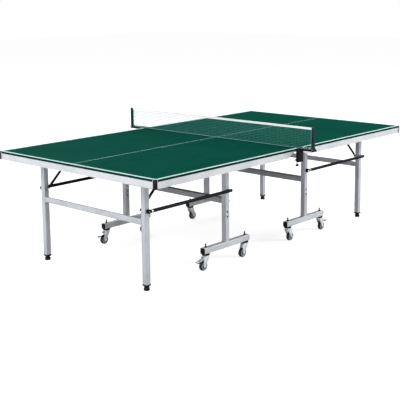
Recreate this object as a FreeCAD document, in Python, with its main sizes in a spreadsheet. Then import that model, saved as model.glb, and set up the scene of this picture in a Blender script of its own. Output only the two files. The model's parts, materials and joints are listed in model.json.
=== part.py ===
"""Folding table tennis table: two rolling halves with tops that swing upright.

Millimetres. +X runs along the table, +Y across it, +Z up. The origin is on the
floor under the middle of the playing surface. "near" is the -Y side, "far" the +Y
side, "left" the -X half and "right" the +X half. "outer" is towards an end of the
table and "inner" is towards the net.
"""
import FreeCAD, Part
import os
import re

import Sketcher
from FreeCAD import Rotation, Vector

DRIVING = {
    # playing surface
    "table_length": 2740, "table_width": 1525, "table_height": 760,
    "half_gap": 6, "panel_thick": 15, "panel_round": 1.5,
    # rails that hang under the edges of the panel
    "rail_drop": 42, "rail_deep": 18, "rail_wall": 2, "rail_inset": 1, "rail_lip": 9,
    "cap_long": 36, "cap_round": 7, "bracket_long": 118, "bracket_thin": 7,
    # square tubes
    "tube": 38, "tube_wall": 2, "tube_round": 4,
    # where the two frames of each half stand
    "post_x": 452, "leg_x": 1200, "frame_y": 493,
    # pivots: panel to post and leg, and rod to post and leg
    "pivot_z": 700, "link_z": 505, "tube_rise": 18, "leg_foot_z": 40,
    "bar_z": 434, "leg_bar_deep": 16,
    # channels under the panel
    "channel_y": 457, "channel_wide": 26, "channel_wall": 3, "channel_deep": 38,
    "channel_over": 40, "tab_round": 20, "tie_wide": 30, "tie_thick": 8, "tie_in": 110,
    # rods and stays
    "link_y": 524, "link_round": 9, "link_tip": 34, "eye_round": 13, "eye_thick": 20,
    "boss_round": 11, "boss_thick": 20,
    "stay_y": 460, "stay_round": 6, "stay_eye": 9, "stay_thick": 12.4,
    "stay_run": 224, "guide_rise": 20, "slider_long": 13, "slider_round": 3,
    # pins
    "pin_round": 5, "pin_play": 0.3, "head_round": 9, "head_thick": 3, "nut_thick": 6,
    "splice_low": 326, "splice_high": 361, "splice_round": 3,
    # rolling base
    "beam_top": 152, "beam_tall": 40, "beam_half": 230, "end_cap": 4, "end_cap_lip": 2,
    "plug_long": 20, "caster_off": 202, "stud_round": 5, "stud_rise": 26,
    "stud_nut": 9, "stud_nut_tall": 5,
    # casters
    "wheel_round": 32, "wheel_wide": 24, "hub_round": 20, "trail": 26, "axle_round": 4,
    "saddle_round": 20, "saddle_tall": 6, "race_round": 19, "race_tall": 11,
    "tread_ease": 4, "tread_step": 2, "hub_wall": 3, "web_half": 5, "hub_nose": 9,
    "fork_wide": 29, "fork_wall": 2.5, "crown_thick": 3, "fork_low": 11,
    "crown_front": 14, "crown_back": 26, "axle_end": 4,
    "pedal_wide": 23, "pedal_up": 78, "pedal_thick": 4, "pedal_reach": 74, "pedal_tip": 66,
    "pedal_root": 18, "pedal_flat": 18, "pedal_lip": 21,
    # levelling feet
    "foot_base": 19, "foot_thick": 8, "foot_ease": 2, "foot_neck": 11, "foot_collar": 20.5,
    "collar_low": 25, "collar_tall": 14, "stem_round": 6, "stem_long": 45,
    # net
    "net_reach": 888, "net_tall": 152.5, "net_thick": 2, "net_clear": 2,
    "post_wide": 20, "post_deep": 18, "arm_thick": 6.5, "arm_in": 705, "arm_wide": 26,
    "clamp_lift": 0.5, "clamp_gap": 3.5, "clamp_deep": 24, "clamp_low": 668, "clamp_left": 28,
    "jaw_in": 732, "jaw_thick": 10, "jaw_side": 6, "screw_x": 16, "screw_y": 745,
    "screw_round": 5, "pad_round": 8, "pad_thick": 3, "pad_z": 737, "knob_low": 630,
    "knob_tall": 16, "knob_round": 9, "wing_half": 16, "wing_thick": 6,
}
HALVES = {"left": -1, "right": 1}
SIDES = {"near": -1, "far": 1}
UPRIGHT = Rotation()
ALONG_X = Rotation(Vector(1, 1, 1), 120)
ALONG_Y = Rotation(Vector(1, 0, 0), 90)
BAR_TURN = Rotation(Vector(0, 0, 1), Vector(-1, 0, 0), Vector(0, -1, 0), "XYZ")
RAIL_X = "(table_length / 2 - rail_inset - rail_deep / 2)"
RAIL_Y = "(table_width / 2 - rail_inset - rail_deep / 2)"
RAIL_Z = "table_height - panel_thick - rail_drop / 2"

doc = FreeCAD.newDocument("TableTennisTable")
sheet = doc.addObject("Spreadsheet::Sheet", "Dims")
for row, (alias, size) in enumerate(DRIVING.items(), start=1):
    sheet.set(f"A{row}", alias)
    sheet.set(f"B{row}", str(size))
    sheet.setAlias(f"B{row}", alias)
doc.recompute()
nodes = []


def bound(text):
    """Expression text with each driving dimension pointed at the sheet."""
    return re.sub(r"[a-z_]+", lambda word: f"Dims.{word[0]}" if word[0] in DRIVING else word[0], text)


def size_of(text):
    """Number that an expression has now."""
    return float(sheet.evalExpression(bound(text)))


def place(piece, centre, turn=UPRIGHT):
    """Turns a piece and ties its origin to three expressions."""
    piece.Placement.Rotation = turn
    for axis, text in zip("xyz", centre):
        piece.setExpression(f".Placement.Base.{axis}", bound(text))
    return piece


def block(name, centre, size):
    """Box given by its centre and size."""
    piece = doc.addObject("Part::Box", name)
    for prop, text in zip(("Length", "Width", "Height"), size):
        piece.setExpression(prop, bound(text))
    corner = [f"{mid} - ({full}) / 2" for mid, full in zip(centre, size)]
    return place(piece, corner)


def peg(name, centre, radius, length, turn=UPRIGHT):
    """Cylinder about its centre, along the direction that the turn gives."""
    piece = doc.addObject("Part::Cylinder", name)
    piece.setExpression("Radius", bound(radius))
    piece.setExpression("Height", bound(length))
    return place(piece, start_of(centre, length, turn), turn)


def start_of(centre, length, turn):
    """Where an extrusion starts so that it is centred on a point."""
    direction = turn.multVec(Vector(0, 0, 1))
    steps = (round(direction.x), round(direction.y), round(direction.z))
    return [f"{mid} - {step} * ({length}) / 2" for mid, step in zip(centre, steps)]


def outline(sketch, points):
    """Closed polygon whose corners are each tied to two expressions."""
    corners = [Vector(size_of(across), size_of(up), 0) for across, up in points]
    first = sketch.GeometryCount
    count = len(corners)
    for index in range(count):
        following = corners[(index + 1) % count]
        sketch.addGeometry(Part.LineSegment(corners[index], following), False)
    for index, (across, up) in enumerate(points):
        here = first + index
        after = first + (index + 1) % count
        sketch.addConstraint(Sketcher.Constraint("Coincident", here, 2, after, 1))
        for kind, text in (("DistanceX", across), ("DistanceY", up)):
            tie = Sketcher.Constraint(kind, -1, 1, here, 1, size_of(text))
            number = sketch.addConstraint(tie)
            sketch.setExpression(f"Constraints[{number}]", bound(text))


def sketch_in(body, outlines, role="XY_Plane"):
    """Sketch of closed outlines on one of the body's own origin planes."""
    sketch = body.newObject("Sketcher::SketchObject", f"{body.Name}_sketch")
    plane = next(item for item in body.Origin.OriginFeatures if item.Role == role)
    sketch.AttachmentSupport = [(plane, "")]
    sketch.MapMode = "FlatFace"
    for points in outlines:
        outline(sketch, points)
    return sketch


def prism(name, outlines, length, centre, turn=UPRIGHT):
    """Body padded from outlines, centred on a point along its own length."""
    body = doc.addObject("PartDesign::Body", name)
    pad = body.newObject("PartDesign::Pad", f"{name}_pad")
    pad.Profile = sketch_in(body, outlines)
    pad.setExpression("Length", bound(length))
    body.Tip = pad
    return place(body, start_of(centre, length, turn), turn)


def turned(name, points, centre, turn=UPRIGHT):
    """Body revolved about its own Z axis from points of radius and height."""
    body = doc.addObject("PartDesign::Body", name)
    spin = body.newObject("PartDesign::Revolution", f"{name}_turn")
    sketch = sketch_in(body, [points], "XZ_Plane")
    spin.Profile = sketch
    spin.ReferenceAxis = (sketch, ["V_Axis"])
    spin.Angle = 360
    body.Tip = spin
    return place(body, centre, turn)


def rectangle(wide, tall):
    """Four corners of a rectangle centred on the sketch's origin."""
    right = f"({wide}) / 2"
    top = f"({tall}) / 2"
    return [(f"-{right}", f"-{top}"), (right, f"-{top}"), (right, top), (f"-{right}", top)]


def round_long_edges(body, radius, outside_only=True):
    """Rounds the edges that run along the body's padding direction."""
    doc.recompute()
    pad = body.Tip
    shape = pad.Shape
    reach = max(abs(corner.X) for corner in shape.Vertexes)
    names = []
    for number, edge in enumerate(shape.Edges, start=1):
        upright = abs(edge.Vertexes[0].Z - edge.Vertexes[-1].Z) > 0.1
        outside = abs(edge.Vertexes[0].X) > reach - 0.1
        if upright and (outside or not outside_only):
            names.append(f"Edge{number}")
    rounding = body.newObject("PartDesign::Fillet", f"{body.Name}_rounding")
    rounding.Base = (pad, names)
    rounding.setExpression("Radius", bound(radius))
    body.Tip = rounding
    return body


def tube(name, wide, deep, length, centre, turn=UPRIGHT):
    """Rectangular steel tube with rounded corners."""
    hollow = rectangle(f"{wide} - 2 * tube_wall", f"{deep} - 2 * tube_wall")
    body = prism(name, [rectangle(wide, deep), hollow], length, centre, turn)
    return round_long_edges(body, "tube_round")


def fuse(name, *pieces):
    """One solid from pieces that overlap."""
    joined = doc.addObject("Part::MultiFuse", name)
    joined.Shapes = list(pieces)
    joined.Refine = True
    return joined


def drill(name, base, *holes):
    """Base with each of the holes cut from it."""
    for number, hole in enumerate(holes, start=1):
        cut = doc.addObject("Part::Cut", f"{name}_{number}")
        cut.Base = base
        cut.Tool = hole
        base = cut
    return base


def node(label, *pieces):
    """Names a finished sub-part, grouping its separate solids when it has several."""
    item = pieces[0]
    if len(pieces) > 1:
        item = doc.addObject("Part::Compound", f"{label}_group")
        item.Links = list(pieces)
    item.Label = label
    nodes.append(item)
    return item


def pin_hole(name, x, y, z, long="tube * 2"):
    """Hole across a frame for a pin, a little larger than the pin."""
    return peg(name, (x, y, z), "pin_round + pin_play", long, ALONG_Y)


# ---------------------------------------------------------------- top of a half

def top_panel(half, sign):
    """Playing board of one half, with its long edges eased."""
    long = "(table_length - half_gap) / 2"
    centre = (f"{sign} * (table_length + half_gap) / 4", "0", "table_height - panel_thick / 2")
    board = prism(f"{half}_panel", [rectangle(long, "table_width")], "panel_thick", centre)
    round_long_edges(board, "panel_round")
    node(f"{half}_top_panel", board)


def rail_section(sign):
    """Rail section, open towards the middle of the table, hung from the panel."""
    face = f"{sign} * rail_deep / 2"
    back = f"-{face}"
    inside = f"{sign} * (rail_deep / 2 - rail_wall)"
    lip = f"{sign} * (rail_deep / 2 - rail_lip)"
    top = "rail_drop / 2"
    return [(face, top), (back, top), (back, f"{top} - rail_wall"), (inside, f"{top} - rail_wall"),
            (inside, f"rail_wall - {top}"), (lip, f"rail_wall - {top}"), (lip, f"-{top}"),
            (face, f"-{top}")]


def apron_rails(half, sign):
    """Two side rails and the end rail of one half."""
    start = "(half_gap / 2 + 2 + bracket_long)"
    stop = "(table_length / 2 - rail_inset - cap_long)"
    rails = []
    for side, across in SIDES.items():
        centre = (f"{sign} * ({start} + {stop}) / 2", f"{across} * {RAIL_Y}", RAIL_Z)
        name = f"{half}_{side}_rail"
        rails.append(prism(name, [rail_section(across)], f"{stop} - {start}", centre, ALONG_X))
    end_long = "table_width - 2 * rail_inset - 2 * rail_deep"
    end_centre = (f"{sign} * {RAIL_X}", "0", RAIL_Z)
    rails.append(prism(f"{half}_end_rail", [rail_section(sign)], end_long, end_centre, ALONG_Y))
    node(f"{half}_apron_rails", *rails)


def corner_caps(half, sign):
    """Moulded caps that close the two outer corners of the rails."""
    caps = []
    for side, across in SIDES.items():
        x = f"{sign} * (table_length / 2 - rail_inset - cap_long / 2)"
        centre = (x, f"{across} * {RAIL_Y}", RAIL_Z)
        cap = prism(f"{half}_{side}_cap", [rectangle("cap_long", "rail_deep")], "rail_drop", centre)
        caps.append(round_corner(cap, sign, across))
    node(f"{half}_corner_caps", *caps)


def round_corner(body, sign, across):
    """Rounds the one upright edge of a cap that stands at the table's corner."""
    doc.recompute()
    pad = body.Tip
    for number, edge in enumerate(pad.Shape.Edges, start=1):
        low = edge.Vertexes[0]
        upright = abs(low.Z - edge.Vertexes[-1].Z) > 0.1
        if upright and low.X * sign > 0 and low.Y * across > 0:
            rounding = body.newObject("PartDesign::Fillet", f"{body.Name}_rounding")
            rounding.Base = (pad, [f"Edge{number}"])
            rounding.setExpression("Radius", "Dims.cap_round")
            body.Tip = rounding
    return body


def inner_brackets(half, sign):
    """Castings that taper the rails away beside the net."""
    top = "table_height - panel_thick"
    near_net = "half_gap / 2 + 2"
    profile = [("0", top), ("bracket_long", top), ("bracket_long", f"{top} - rail_drop"),
               ("bracket_long * 0.86", f"{top} - rail_drop * 0.97"),
               ("bracket_long * 0.7", f"{top} - rail_drop * 0.8"),
               ("bracket_long * 0.55", f"{top} - rail_drop * 0.52"),
               ("bracket_long * 0.42", f"{top} - rail_drop * 0.28"),
               ("bracket_long * 0.3", f"{top} - bracket_thin"), ("0", f"{top} - bracket_thin")]
    placed = [(f"{sign} * ({near_net} + {along})", up) for along, up in profile]
    castings = []
    for side, across in SIDES.items():
        centre = ("0", f"{across} * {RAIL_Y}", "0")
        castings.append(prism(f"{half}_{side}_bracket", [placed], "rail_deep", centre, ALONG_Y))
    node(f"{half}_inner_brackets", *castings)


def channel(half, side, sign, across):
    """Channel under the panel, open below, with a pivot tab at each end."""
    name = f"{half}_{side}_channel"
    wide = "channel_wide / 2"
    thin = "channel_wide / 2 - channel_wall"
    top = "channel_deep / 2"
    section = [(f"-({wide})", f"-{top}"), (f"-({wide})", top), (wide, top), (wide, f"-{top}"),
               (thin, f"-{top}"), (thin, f"{top} - channel_wall"),
               (f"-({thin})", f"{top} - channel_wall"), (f"-({thin})", f"-{top}")]
    middle_z = "table_height - panel_thick - channel_deep / 2"
    centre = (f"{sign} * (post_x + leg_x) / 2", f"{across} * channel_y", middle_z)
    length = "leg_x - post_x + 2 * channel_over"
    pieces = [prism(name, [section], length, centre, ALONG_X)]
    tab_y = f"{across} * (channel_y + channel_wide / 2 - channel_wall / 2)"
    holes = []
    for place_name, x in (("post", f"{sign} * post_x"), ("leg", f"{sign} * leg_x")):
        tall = "table_height - panel_thick - channel_wall - pivot_z"
        middle = f"pivot_z + ({tall}) / 2"
        size = ("2 * tab_round", "channel_wall", tall)
        pieces.append(block(f"{name}_{place_name}_tab", (x, tab_y, middle), size))
        end = peg(f"{name}_{place_name}_end", (x, tab_y, "pivot_z"), "tab_round", "channel_wall", ALONG_Y)
        pieces.append(end)
        holes.append(pin_hole(f"{name}_{place_name}_hole", x, tab_y, "pivot_z", "channel_wall * 2"))
    return drill(f"{name}_drilled", fuse(f"{name}_whole", *pieces), *holes)


def under_frame(half, sign):
    """Two channels screwed under the panel and the flat bars that tie them."""
    pieces = [channel(half, side, sign, across) for side, across in SIDES.items()]
    between = "2 * channel_y - channel_wide"
    z = "table_height - panel_thick - tie_thick / 2"
    for end, x in (("inner", "post_x + tie_in"), ("outer", "leg_x - tie_in")):
        name = f"{half}_{end}_tie"
        pieces.append(block(name, (f"{sign} * ({x})", "0", z), ("tie_wide", between, "tie_thick")))
    node(f"{half}_under_frame", *pieces)


# ---------------------------------------------------------------- rolling base

def carriage_posts(half, sign):
    """Two posts that stand on the rolling base and carry the top."""
    posts = []
    for side, across in SIDES.items():
        x = f"{sign} * post_x"
        y = f"{across} * frame_y"
        length = "pivot_z + tube_rise - beam_top"
        centre = (x, y, f"beam_top + ({length}) / 2")
        name = f"{half}_{side}_post"
        holes = [pin_hole(f"{name}_hole_{level}", x, y, level) for level in ("pivot_z", "link_z")]
        for level in ("splice_low", "splice_high"):
            holes.append(peg(f"{name}_{level}", (x, y, level), "splice_round", "tube * 2", ALONG_Y))
        posts.append(drill(name, tube(f"{name}_tube", "tube", "tube", length, centre), *holes))
    node(f"{half}_carriage_posts", *posts)


def cross_bar(label, x, deep):
    """Tube between the near and far members of a frame."""
    length = "2 * frame_y - tube"
    node(label, tube(f"{label}_tube", "tube", deep, length, (x, "0", "bar_z"), BAR_TURN))


def base_beams(half, sign):
    """Two beams that run along the floor over the casters."""
    beams = []
    for side, across in SIDES.items():
        y = f"{across} * frame_y"
        centre = (f"{sign} * post_x", y, "beam_top - beam_tall / 2")
        name = f"{half}_{side}_beam"
        body = tube(f"{name}_tube", "tube", "beam_tall", "2 * beam_half", centre, ALONG_X)
        holes = []
        for end in (-1, 1):
            x = f"{sign} * post_x + {end} * caster_off"
            holes.append(peg(f"{name}_hole", (x, y, "beam_top"), "stud_round", "beam_tall * 3"))
        beams.append(drill(name, body, *holes))
    node(f"{half}_base_beams", *beams)


def beam_caps(half, sign):
    """Plugs that close the ends of the beams."""
    caps = []
    for side, across in SIDES.items():
        for end in (-1, 1):
            name = f"{half}_{side}_beam_cap"
            y = f"{across} * frame_y"
            z = "beam_top - beam_tall / 2"
            face_x = f"{sign} * post_x + {end} * (beam_half + end_cap / 2)"
            face = prism(f"{name}_face", [rectangle("tube + end_cap_lip", "beam_tall + end_cap_lip")],
                         "end_cap", (face_x, y, z), ALONG_X)
            round_long_edges(face, "tube_round")
            plug_x = f"{sign} * post_x + {end} * (beam_half - plug_long / 2)"
            inside = "(2 * tube_wall + 2 * pin_play)"
            size = ("plug_long", f"tube - {inside}", f"beam_tall - {inside}")
            plug = block(f"{name}_plug", (plug_x, y, z), size)
            caps.append(fuse(name, face, plug))
    node(f"{half}_beam_caps", *caps)


def pin(name, x, z, across, head_y, tail_y, head="head_round"):
    """Turned pin with a head outside the frame and a nut inside it."""
    long = f"({head_y} - ({tail_y}))"
    nut = f"{long} - nut_thick"
    points = [("0", "0"), (head, "0"), (head, "head_thick"), ("pin_round", "head_thick"),
              ("pin_round", nut), ("head_round * 0.85", nut), ("head_round * 0.85", long), ("0", long)]
    turn = Rotation(Vector(1, 0, 0), 90 * across)
    return turned(name, points, (x, f"{across} * ({head_y})", z), turn)


def frame_bolts(half, sign):
    """Pivot pins, splice bolts and caster studs of the rolling base."""
    fasteners = []
    x = f"{sign} * post_x"
    flange = "channel_y + channel_wide / 2 - channel_wall"
    for side, across in SIDES.items():
        name = f"{half}_{side}"
        fasteners.append(pin(f"{name}_top_pin", x, "pivot_z", across,
                             "frame_y + tube / 2 + head_thick", f"{flange} - nut_thick - 1"))
        fasteners.append(pin(f"{name}_link_pin", x, "link_z", across,
                             "link_y + eye_thick / 2 + head_thick + 0.5", "frame_y - tube / 2 - nut_thick"))
        for level in ("splice_low", "splice_high"):
            middle = (x, f"{across} * frame_y", level)
            fasteners.append(peg(f"{name}_{level}_bolt", middle, "splice_round", "tube + 5", ALONG_Y))
        for end in (-1, 1):
            fasteners.append(caster_stud(name, f"{x} + {end} * caster_off", f"{across} * frame_y"))
    node(f"{half}_frame_bolts", *fasteners)


def caster_stud(name, x, y):
    """Stud through a beam, with the nut above and the saddle washer below."""
    low = "(beam_top - beam_tall)"
    points = [("0", f"{low} - saddle_tall"), ("saddle_round", f"{low} - saddle_tall"),
              ("saddle_round", low), ("stud_round", low), ("stud_round", "beam_top"),
              ("stud_nut", "beam_top"), ("stud_nut", "beam_top + stud_nut_tall"),
              ("stud_round", "beam_top + stud_nut_tall"), ("stud_round", "beam_top + stud_rise"),
              ("0", "beam_top + stud_rise")]
    return turned(f"{name}_stud", points, (x, y, "0"))


# ---------------------------------------------------------------- casters

def fork(name, label, out, x, y):
    """Swivelling fork whose two cheeks lean back to the axle."""
    crown = "beam_top - beam_tall - saddle_tall - race_tall"
    axle_x = f"({x} + {out} * trail)"
    race_z = f"{crown} + race_tall / 2"
    race = peg(f"{name}_race", (x, y, race_z), "race_round", "race_tall - pin_play")
    plate_x = f"{x} + {out} * (crown_back - crown_front) / 2"
    plate = block(f"{name}_plate", (plate_x, y, f"{crown} - crown_thick / 2 + pin_play"),
                  ("crown_front + crown_back", "fork_wide + 2 * fork_wall",
                   "crown_thick + 2 * pin_play"))
    profile = [(f"{out} * -crown_front", crown), (f"{out} * crown_back", crown),
               (f"{out} * (trail + fork_low)", "wheel_round + tread_step"),
               (f"{out} * (trail + fork_low * 0.6)", "wheel_round - fork_low * 0.8"),
               (f"{out} * (trail - fork_low * 0.6)", "wheel_round - fork_low * 0.8"),
               (f"{out} * (trail - fork_low)", "wheel_round + tread_step")]
    pieces = [race, plate]
    for edge in (-1, 1):
        middle = f"{y} + {edge} * (fork_wide + fork_wall) / 2"
        pieces.append(prism(f"{name}_cheek", [profile], "fork_wall", (x, middle, "0"), ALONG_Y))
    axle_long = "fork_wide + 2 * (fork_wall + axle_end)"
    pieces.append(peg(f"{name}_axle", (axle_x, y, "wheel_round"), "axle_round", axle_long, ALONG_Y))
    node(label, fuse(name, *pieces))


def mirrored(points):
    """Outline of a turned shape from its upper half, given from the outside in."""
    return points + [(across, f"-({up})") for across, up in reversed(points)]


def wheel(name, label, out, x, y):
    """Soft tyre on a moulded hub."""
    centre = (f"{x} + {out} * trail", y, "wheel_round")
    face = "wheel_wide / 2"
    rim = f"{face} - tread_step"
    bore = "axle_round + pin_play / 3"
    nose = f"{face} + 1"
    tread = [("hub_round", rim), ("wheel_round - tread_ease", face),
             ("wheel_round", f"{face} - tread_ease")]
    web = [(bore, nose), ("hub_nose", nose), ("hub_nose", "web_half"),
           ("hub_round - hub_wall", "web_half"), ("hub_round - hub_wall", rim), ("hub_round", rim)]
    tyre = turned(f"{name}_tyre", mirrored(tread), centre, ALONG_Y)
    hub = turned(f"{name}_hub", mirrored(web), centre, ALONG_Y)
    node(label, tyre, hub)


def pedal(name, label, out, x, y):
    """Brake pedal that is pressed down onto the tyre."""
    end = "trail + pedal_reach"
    bend = "pedal_root + pedal_flat"
    profile = [("pedal_root", "pedal_up - pedal_thick"), (bend, "pedal_up - pedal_thick - 2"),
               (f"{end} - pedal_lip", "pedal_tip"), (f"{end} - pedal_lip", "pedal_tip - 2"),
               (end, "pedal_tip"), (end, "pedal_tip + pedal_thick - 1"),
               (f"{end} - pedal_lip", "pedal_tip + pedal_thick"),
               (bend, "pedal_up + pedal_thick - 1"), ("pedal_root", "pedal_up + pedal_thick")]
    placed = [(f"{out} * ({along})", up) for along, up in profile]
    node(label, prism(name, [placed], "pedal_wide", (x, y, "0"), ALONG_Y))


def casters(half, sign):
    """Four casters of one half. The outer pair has brakes."""
    for side, across in SIDES.items():
        for end, out in (("outer", 1), ("inner", -1)):
            x = f"{sign} * (post_x + {out} * caster_off)"
            y = f"{across} * frame_y"
            spot = f"{half}_{side}_{end}"
            fork(f"{spot}_fork_solid", f"{spot}_fork", sign, x, y)
            wheel(f"{spot}_wheel_solid", f"{spot}_wheel", sign, x, y)
            if end == "outer":
                pedal(f"{spot}_pedal_solid", f"{spot}_pedal", sign, x, y)


# ---------------------------------------------------------------- folding legs

def legs(half, sign):
    """Two outer legs that hang from the top."""
    members = []
    for side, across in SIDES.items():
        x = f"{sign} * leg_x"
        y = f"{across} * frame_y"
        length = "pivot_z + tube_rise - leg_foot_z"
        name = f"{half}_{side}_leg"
        holes = [pin_hole(f"{name}_hole_{level}", x, y, level) for level in ("pivot_z", "link_z")]
        centre = (x, y, f"leg_foot_z + ({length}) / 2")
        members.append(drill(name, tube(f"{name}_tube", "tube", "tube", length, centre), *holes))
    node(f"{half}_legs", *members)


def leg_pins(half, sign):
    """Pins that join the legs to the top, the rods and the stays."""
    pins = []
    x = f"{sign} * leg_x"
    flange = "channel_y + channel_wide / 2 - channel_wall"
    for side, across in SIDES.items():
        name = f"{half}_{side}_leg"
        pins.append(pin(f"{name}_top_pin", x, "pivot_z", across,
                        "frame_y + tube / 2 + head_thick", f"{flange} - nut_thick - 1"))
        pins.append(pin(f"{name}_link_pin", x, "link_z", across,
                        "link_y + eye_thick / 2 + head_thick + 0.5",
                        "stay_y - stay_thick / 2 - nut_thick - 0.5"))
    node(f"{half}_leg_pins", *pins)


def link_rods(half, sign):
    """Rods that keep the legs upright while the top swings."""
    rods = []
    for side, across in SIDES.items():
        name = f"{half}_{side}_link"
        y = f"{across} * link_y"
        eye_x = f"{sign} * " + ("leg_x" if sign < 0 else "post_x")
        boss_x = f"{sign} * " + ("post_x" if sign < 0 else "leg_x")
        middle = (f"{sign} * (post_x + leg_x) / 2 + link_tip / 2", y, "link_z")
        pieces = [peg(f"{name}_bar", middle, "link_round", "leg_x - post_x + link_tip", ALONG_X),
                  peg(f"{name}_eye", (eye_x, y, "link_z"), "eye_round", "eye_thick", ALONG_Y),
                  peg(f"{name}_boss", (boss_x, y, "link_z"), "boss_round", "boss_thick", ALONG_Y)]
        holes = [pin_hole(f"{name}_hole", x, y, "link_z") for x in (eye_x, boss_x)]
        rods.append(drill(f"{name}_drilled", fuse(name, *pieces), *holes))
    node(f"{half}_link_rods", *rods)


def stays(half, sign):
    """Thin stays from the leg pins to sliders in the channels."""
    rise = "(pivot_z + guide_rise - link_z)"
    long = f"sqrt(stay_run^2 + {rise}^2)"
    lean = Rotation(Vector(0, 1, 0), -sign * size_of(f"atan2(stay_run; {rise})"))
    members = []
    for side, across in SIDES.items():
        name = f"{half}_{side}_stay"
        x = f"{sign} * leg_x"
        y = f"{across} * stay_y"
        bar = doc.addObject("Part::Cylinder", f"{name}_bar")
        bar.setExpression("Radius", "Dims.stay_round")
        bar.setExpression("Height", bound(long))
        place(bar, (x, y, "link_z"), lean)
        eye = peg(f"{name}_eye", (x, y, "link_z"), "stay_eye", "stay_thick", ALONG_Y)
        head = (f"{sign} * (leg_x - stay_run)", y, "pivot_z + guide_rise")
        slider = peg(f"{name}_slider", head, "slider_round", "slider_long", ALONG_Y)
        hole = pin_hole(f"{name}_hole", x, y, "link_z")
        members.append(drill(f"{name}_drilled", fuse(name, bar, eye, slider), hole))
    node(f"{half}_stays", *members)


def levelling_feet(half, sign):
    """Screw feet, each with a square collar that is turned by hand."""
    for side, across in SIDES.items():
        name = f"{half}_{side}_foot"
        x = f"{sign} * leg_x"
        y = f"{across} * frame_y"
        points = [("0", "0"), ("foot_base - foot_ease", "0"), ("foot_base", "foot_ease"),
                  ("foot_base", "foot_thick - foot_ease"), ("foot_neck", "foot_thick + foot_ease"),
                  ("foot_neck - foot_ease", "collar_low + foot_ease"),
                  ("stem_round", "collar_low + foot_ease"), ("stem_round", "leg_foot_z + stem_long"),
                  ("0", "leg_foot_z + stem_long")]
        base = turned(f"{name}_base", points, (x, y, "0"))
        square = [rectangle("2 * foot_collar", "2 * foot_collar")]
        middle = (x, y, "collar_low + collar_tall / 2")
        collar = prism(f"{name}_collar", square, "collar_tall", middle)
        round_long_edges(collar, "tube_round")
        node(f"{half}_{side}_foot", fuse(name, base, collar))


# ---------------------------------------------------------------- net

def net():
    """Soft net, as the thin flat space that it fills."""
    tall = "net_tall - net_clear"
    centre = ("0", "0", f"table_height + net_clear + ({tall}) / 2")
    node("net", block("net_band", centre, ("net_thick", "2 * net_reach - post_deep - 2", tall)))


def net_posts():
    """Two posts that hold the ends of the net."""
    posts = []
    for side, across in SIDES.items():
        foot = "table_height + clamp_lift + arm_thick"
        tall = f"table_height + net_tall + 3 - ({foot})"
        centre = ("0", f"{across} * net_reach", f"{foot} + ({tall}) / 2")
        post = prism(f"{side}_net_post", [rectangle("post_wide", "post_deep")], tall, centre)
        posts.append(round_long_edges(post, "tube_round"))
    node("net_posts", *posts)


def net_clamps():
    """Clamps that grip the edge of the right half beside the gap."""
    clamps = []
    for side, across in SIDES.items():
        name = f"{side}_clamp"
        edge = "(table_width / 2 + clamp_gap)"
        tip = "(net_reach + post_deep / 2 + 3)"
        half_post = "post_wide / 2 + 3"
        seat = "(net_reach - post_deep / 2 - 0.5)"
        shape = [("net_thick", "arm_in"), ("arm_wide", "arm_in"), ("arm_wide", f"{edge} + clamp_deep"),
                 (half_post, tip), (f"-({half_post})", tip), (f"-({half_post})", seat), ("net_thick", seat)]
        placed = [(x, f"{across} * ({y})") for x, y in shape]
        arm_z = "table_height + clamp_lift + arm_thick / 2"
        arm = prism(f"{name}_arm", [placed], "arm_thick", ("0", "0", arm_z))
        tall = "table_height + clamp_lift + 1 - clamp_low"
        back_x = "(arm_wide - clamp_left) / 2"
        back_y = f"{across} * ({edge} + clamp_deep / 2)"
        back = block(f"{name}_back", (back_x, back_y, f"clamp_low + ({tall}) / 2"),
                     ("arm_wide + clamp_left", "clamp_deep", tall))
        jaw_long = f"{edge} + 1 - jaw_in"
        jaw = block(f"{name}_jaw", ("(arm_wide + jaw_side) / 2", f"{across} * (jaw_in + ({jaw_long}) / 2)",
                                    "clamp_low + jaw_thick / 2"),
                    ("arm_wide - jaw_side", jaw_long, "jaw_thick"))
        hole = peg(f"{name}_hole", ("screw_x", f"{across} * screw_y", "clamp_low"),
                   "screw_round + pin_play", "jaw_thick * 4")
        clamps.append(drill(f"{name}_drilled", fuse(name, arm, back, jaw), hole))
    node("net_clamps", *clamps)


def clamp_screws():
    """Screw of each clamp, with a pad above and a wing knob below."""
    for side, across in SIDES.items():
        name = f"{side}_screw"
        points = [("0", "knob_low"), ("knob_round", "knob_low"), ("knob_round", "knob_low + knob_tall"),
                  ("screw_round", "knob_low + knob_tall"), ("screw_round", "pad_z - pad_thick"),
                  ("pad_round", "pad_z - pad_thick"), ("pad_round", "pad_z"), ("0", "pad_z")]
        shaft = turned(f"{name}_shaft", points, ("screw_x", f"{across} * screw_y", "0"))
        wings = block(f"{name}_wings", ("screw_x", f"{across} * screw_y", "knob_low + knob_tall / 2"),
                      ("2 * wing_half", "wing_thick", "knob_tall - 2"))
        node(f"{side}_clamp_screw", fuse(name, shaft, wings))


def build():
    """Builds both halves and the net."""
    for half, sign in HALVES.items():
        top_panel(half, sign)
        apron_rails(half, sign)
        corner_caps(half, sign)
        inner_brackets(half, sign)
        under_frame(half, sign)
        carriage_posts(half, sign)
        cross_bar(f"{half}_inner_bar", f"{sign} * post_x", "tube")
        base_beams(half, sign)
        beam_caps(half, sign)
        frame_bolts(half, sign)
        casters(half, sign)
        legs(half, sign)
        outer_x = f"{sign} * (leg_x + tube / 2 - leg_bar_deep / 2)"
        cross_bar(f"{half}_outer_bar", outer_x, "leg_bar_deep")
        leg_pins(half, sign)
        link_rods(half, sign)
        stays(half, sign)
        levelling_feet(half, sign)
    net()
    net_posts()
    net_clamps()
    clamp_screws()


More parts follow.
